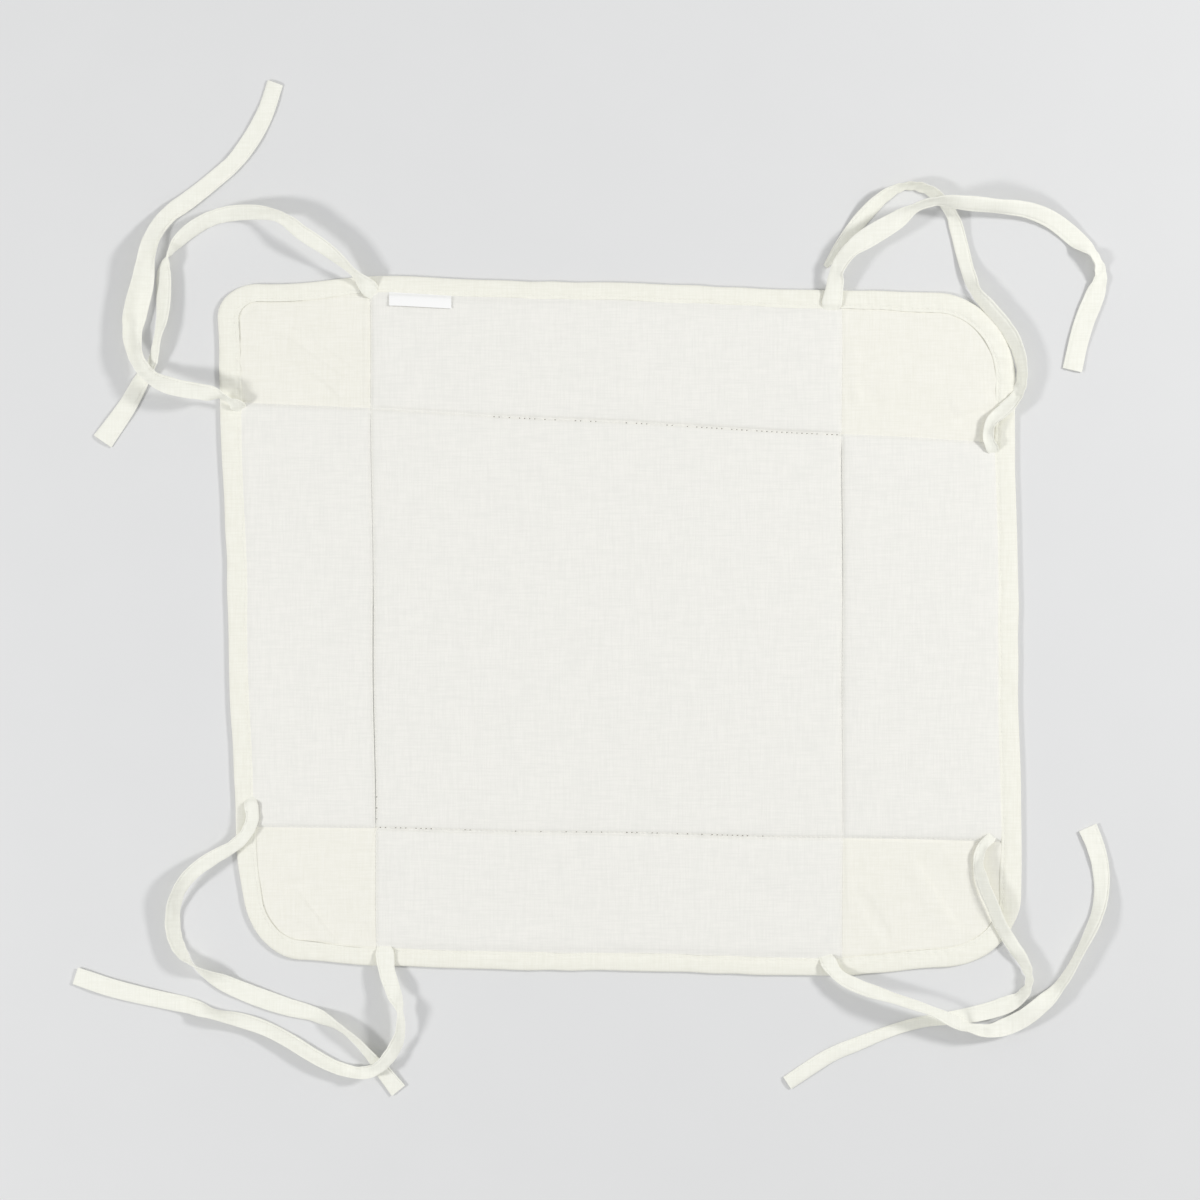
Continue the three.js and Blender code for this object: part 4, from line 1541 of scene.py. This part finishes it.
@dataclass
class Tie:
    """A folded, edge-stitched tape that lies loose, and twists as it goes."""

    shop: Workshop
    name: str
    side: Side
    below: list["Tie"] = field(default_factory=list)
    width: float = 8.0 * MM
    thickness: float = 1.1 * MM
    step: float = 0.9 * MM
    columns: int = 19
    hem_at: float = 0.74
    hold: float = 70 * MM
    tuck: float = 4.5 * MM
    lap: float = 0.8 * MM
    root: float = 4.5 * MM
    seam_level: float = 1.25 * MM
    sight_height: float = 1.6
    centres: Array = field(default_factory=lambda: np.zeros((0, 3)))
    tops: Array = field(default_factory=lambda: np.zeros(0))

    def rows(self) -> list[tuple[float, float, float, float, float]]:
        """The tie's rows, drawn back to the seam that holds it, and plumb under where they are seen.

        Seen from overhead a raised place looks further out than it is.

        Returns:
            The rows, as in TIE_ROUTES.
        """
        rows = [list(row) for row in TIE_ROUTES[self.name]]
        lay, first = self.shop.lay, rows[0]
        back = np.array(first[:2]) - np.array(rows[1][:2])
        back /= np.linalg.norm(back)
        lx, ly = lay.place(np.array(first[0]), np.array(first[1]))
        inset = float(lay.plan.inset(2 * first[0] - lx, 2 * first[1] - ly))
        reach = min(self.tuck, max(0.0, lay.binding_reach - inset)) + self.lap
        rows.insert(0, [first[0] + back[0] * reach, first[1] + back[1] * reach, *first[2:]])
        for row in rows:
            row[0] *= 1 - row[2] / self.sight_height
            row[1] *= 1 - row[2] / self.sight_height
        return [tuple(row) for row in rows]

    def bending(self, centre: Array) -> Array:
        """How sharply the tie turns in plan.

        Args:
            centre: its centreline.

        Returns:
            From 0 when straight to 1 when tight.
        """
        heading = np.unwrap(np.arctan2(*np.gradient(centre[:, :2], axis=0).T[::-1]))
        sharp = np.abs(np.gradient(heading)) / self.step
        kernel = np.hanning(9) / np.hanning(9).sum()
        return smooth(np.convolve(sharp, kernel, mode="same") * 14 * MM)

    def ground(self, x: Array, y: Array) -> Array:
        """Height of what lies under the tie: the rim's binding, or the floor.

        Args:
            x: laid x.
            y: laid y.

        Returns:
            The height.
        """
        lay = self.shop.lay
        lx, ly = lay.place(x, y)
        inset = lay.plan.inset(2 * x - lx, 2 * y - ly)
        return 0.08 * MM + 2.75 * MM * smooth((inset + 2.5 * MM) / (3.5 * MM))

    def lifted(self, route: Array, roll: Array, half: Array) -> Array:
        """Heights of the centreline once it clears what lies under it.

        Args:
            route: the centreline.
            roll: its roll in radians.
            half: its half width.

        Returns:
            The heights.
        """
        need = half * np.abs(np.sin(roll)) + self.thickness / 2
        z = np.maximum(route[:, 2], self.ground(route[:, 0], route[:, 1]) + need)
        for tie in self.below:
            apart = np.linalg.norm(route[:, None, :2] - tie.centres[None, :, :2], axis=2)
            over = smooth(1.55 - apart / (9 * MM))
            z = np.maximum(z, (over * tie.tops[None, :]).max(axis=1) + need * (over.max(axis=1) > 0))
        kernel = np.exp(-(np.linspace(-2, 2, 13) ** 2))
        kernel /= kernel.sum()
        soft = np.convolve(np.pad(z, 6, mode="edge"), kernel, mode="valid")
        return np.maximum(soft, z - 0.25 * MM)

    def columns_at(self) -> Array:
        """Where the tape's columns lie across it, from -1 to 1."""
        return np.sin(np.linspace(-1, 1, self.columns) * math.pi / 2)

    def faces(self, route: Route, centre: Array, half: Array, bend: Array) -> tuple[Array, Array, Array]:
        """Sweeps the tape's section along its centreline.

        Args:
            route: the tie's route.
            centre: its centreline, clear of what lies under it.
            half: its half width at each row.
            bend: how sharply it turns at each row.

        Returns:
            The upper and the lower face, and the normal of each row.
        """
        roll = np.radians(route.values[:, 3])
        tangent = np.gradient(centre, axis=0)
        tangent /= np.linalg.norm(tangent, axis=1, keepdims=True)
        level = np.cross(tangent, [0.0, 0.0, 1.0])
        level /= np.linalg.norm(level, axis=1, keepdims=True)
        upright = np.cross(level, tangent)
        cos, sin = np.cos(roll)[:, None], np.sin(roll)[:, None]
        across = cos * level + sin * upright
        normal = -sin * level + cos * upright
        u = self.columns_at()
        hem = 0.34 * MM * np.exp(-(((u - self.hem_at) / 0.08) ** 2))
        crown = (self.thickness / 2) * np.sqrt(np.maximum(1 - np.abs(u) ** 5, 0.06)) - hem
        run = route.run[:, None]
        key = 1.0 + 0.13 * len(self.name) + 2.1 * self.width * 1000 * (self.side.out + self.side.axis)
        opened = np.maximum(route.values[:, 4:] - 1.08, 0.0)
        depth = 0.45 * np.sin(run / 0.017 + key) + 0.7 * bend[:, None] + 6.0 * opened
        cup = MM * depth * (u[None, :] ** 2 - 0.4)
        crumple = np.sin(run / 0.0011 + 2.2 * np.sin(run / 0.006 + key) + 1.3 * u[None, :])
        wave = 0.16 * MM * np.sin(run / 0.0045 + 1.4 * np.sin(run / 0.013 + key)) * u[None, :]
        wave = wave + 0.28 * MM * bend[:, None] * crumple * np.abs(u[None, :])
        edge = half[:, None] * (1 + 0.045 * np.sin(run / 0.0071 + key + u[None, :] * 2))
        found = []
        for way in (1.0, -1.0):
            high = way * crown[None, :] + cup + wave
            spot = centre[:, None, :] + across[:, None, :] * (edge * u[None, :])[..., None]
            found.append(spot + normal[:, None, :] * high[..., None])
        return found[0], found[1], normal

    def declare(self, tape: bpy.types.Object, sewn: bpy.types.Object) -> None:
        """Args:
            tape: the tape.
            sewn: its edge stitches.
        """
        for obj in (tape, sewn):
            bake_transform(obj)
        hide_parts(self.name)
        report(tape)

    def build(self) -> None:
        """Makes the tape and its edge stitches."""
        route = Route(self.rows(), self.step)
        centre = route.values[:, :3].copy()
        bend = self.bending(centre)
        half = route.values[:, 4] * self.width / 2 * (1 - 0.16 * bend)
        rooted = smooth(route.run / self.root)
        centre[:, 2] = self.lifted(centre, np.radians(route.values[:, 3]), half)
        centre[:, 2] = self.seam_level + (centre[:, 2] - self.seam_level) * rooted
        half = half * (0.7 + 0.3 * rooted)
        upper, lower, normal = self.faces(route, centre, half, bend)
        sunk = 0.06 * MM - np.minimum(upper[..., 2], lower[..., 2]).min(axis=1)
        rise = np.maximum(sunk, 0.0)[:, None]
        upper[..., 2] += rise
        lower[..., 2] += rise
        tape = Slab(self.name.replace("tie_", "tape_"), upper, lower).build(self.shop.finishes.tie)
        seam = int(np.argmin(np.abs(self.columns_at() - self.hem_at)))
        rows = [face[2:-2, seam] + way * normal[2:-2] * 0.02 * MM for face, way in ((upper, 1), (lower, -1))]
        sewn = self.shop.stitches.row(
            self.name.replace("tie_", "tape_stitches_"),
            rows,
            self.shop.finishes.thread,
            length=1.6 * MM,
            width=0.24 * MM,
        )
        self.centres = centre + np.array([0.0, 0.0, 1.0]) * rise
        self.tops = np.maximum(upper[..., 2], lower[..., 2]).max(axis=1)
        self.declare(tape, sewn)


@dataclass(frozen=True)
class Studio:
    """The camera overhead, the pale floor and two soft lamps across from each other."""

    centre: tuple[float, float] = (-10.5 * MM, 12.45 * MM)
    camera_height: float = 1.6
    frame_width: float = 545.45 * MM
    sensor: float = 36.0
    ambient: float = 0.55
    west_lamp: float = 12.5
    east_lamp: float = 15.0
    lamp_size: float = 0.26
    west_place: Point = (-1.48, -0.35, 1.08)
    east_place: Point = (1.38, 0.46, 1.08)
    floor_reach: float = 6.0

    def camera(self) -> None:
        """Hangs the camera straight over the cloth."""
        data = bpy.data.cameras.new("overhead camera")
        data.sensor_width = self.sensor
        data.lens = self.sensor * self.camera_height / self.frame_width
        data.clip_start, data.clip_end = 0.05, 20.0
        made = bpy.data.objects.new("overhead camera", data)
        made.location = (*self.centre, self.camera_height)
        bpy.context.scene.collection.objects.link(made)
        bpy.context.scene.camera = made

    def lamp(self, name: str, place: Point, power: float, size: float) -> None:
        """Hangs a square soft lamp that faces the middle of the floor.

        Args:
            name: the lamp's name.
            place: where it hangs.
            power: its watts.
            size: its side.
        """
        data = bpy.data.lights.new(name, "AREA")
        data.energy, data.size, data.color = power, size, (1.0, 0.995, 0.985)
        made = bpy.data.objects.new(name, data)
        made.location = place
        made.rotation_mode = "QUATERNION"
        made.rotation_quaternion = made.location.to_track_quat("Z", "Y")
        bpy.context.scene.collection.objects.link(made)

    def build(self, finishes: Finishes) -> None:
        """Lays the floor and sets the light.

        Args:
            finishes: the finishes, for the floor's.
        """
        bpy.context.scene.view_settings.view_transform = "Standard"
        world = bpy.data.worlds.new("soft room")
        world.use_nodes = True
        background = world.node_tree.nodes["Background"]
        background.inputs["Color"].default_value = (0.985, 0.992, 1.0, 1.0)
        background.inputs["Strength"].default_value = self.ambient
        bpy.context.scene.world = world
        self.lamp("west lamp", self.west_place, self.west_lamp, self.lamp_size)
        self.lamp("east lamp", self.east_place, self.east_lamp, self.lamp_size)
        reach = self.floor_reach
        mesh = bpy.data.meshes.new("floor")
        corners = [(-reach, -reach, 0), (reach, -reach, 0), (reach, reach, 0), (-reach, reach, 0)]
        mesh.from_pydata(corners, [], [(0, 1, 2, 3)])
        mesh.materials.append(finishes.floor)
        floor = bpy.data.objects.new("floor", mesh)
        bpy.context.scene.collection.objects.link(floor)


def main() -> None:
    """Builds the scene in order: camera, ties, cloth, tape, stitches, label, light."""
    logging.basicConfig(level=logging.INFO, format="%(message)s")
    studio = Studio()
    studio.camera()
    shop = Workshop(ClothLay(Plan.from_frame()), Finishes(), StitchTree())
    pairs = (
        ("tie_nw_north", Side.NORTH, "tie_nw_west", Side.WEST),
        ("tie_ne_east", Side.EAST, "tie_ne_north", Side.NORTH),
        ("tie_sw_west", Side.WEST, "tie_sw_south", Side.SOUTH),
        ("tie_se_east", Side.EAST, "tie_se_south", Side.SOUTH),
    )
    for under_name, under_side, over_name, over_side in pairs:
        under = Tie(shop, under_name, under_side)
        under.build()
        Tie(shop, over_name, over_side, below=[under]).build()
    PaddedPanel(shop).build()
    for side in Side:
        PaddedPanel(shop, side).build()
        SideBinding(shop, side).build()
    for corner in Corner:
        for side in (corner.along, corner.across):
            CornerHalf(shop, corner, side).build()
    FoldStitches(shop).build()
    Label(shop).build()
    studio.build(shop.finishes)


if __name__ == "__main__":
    main()
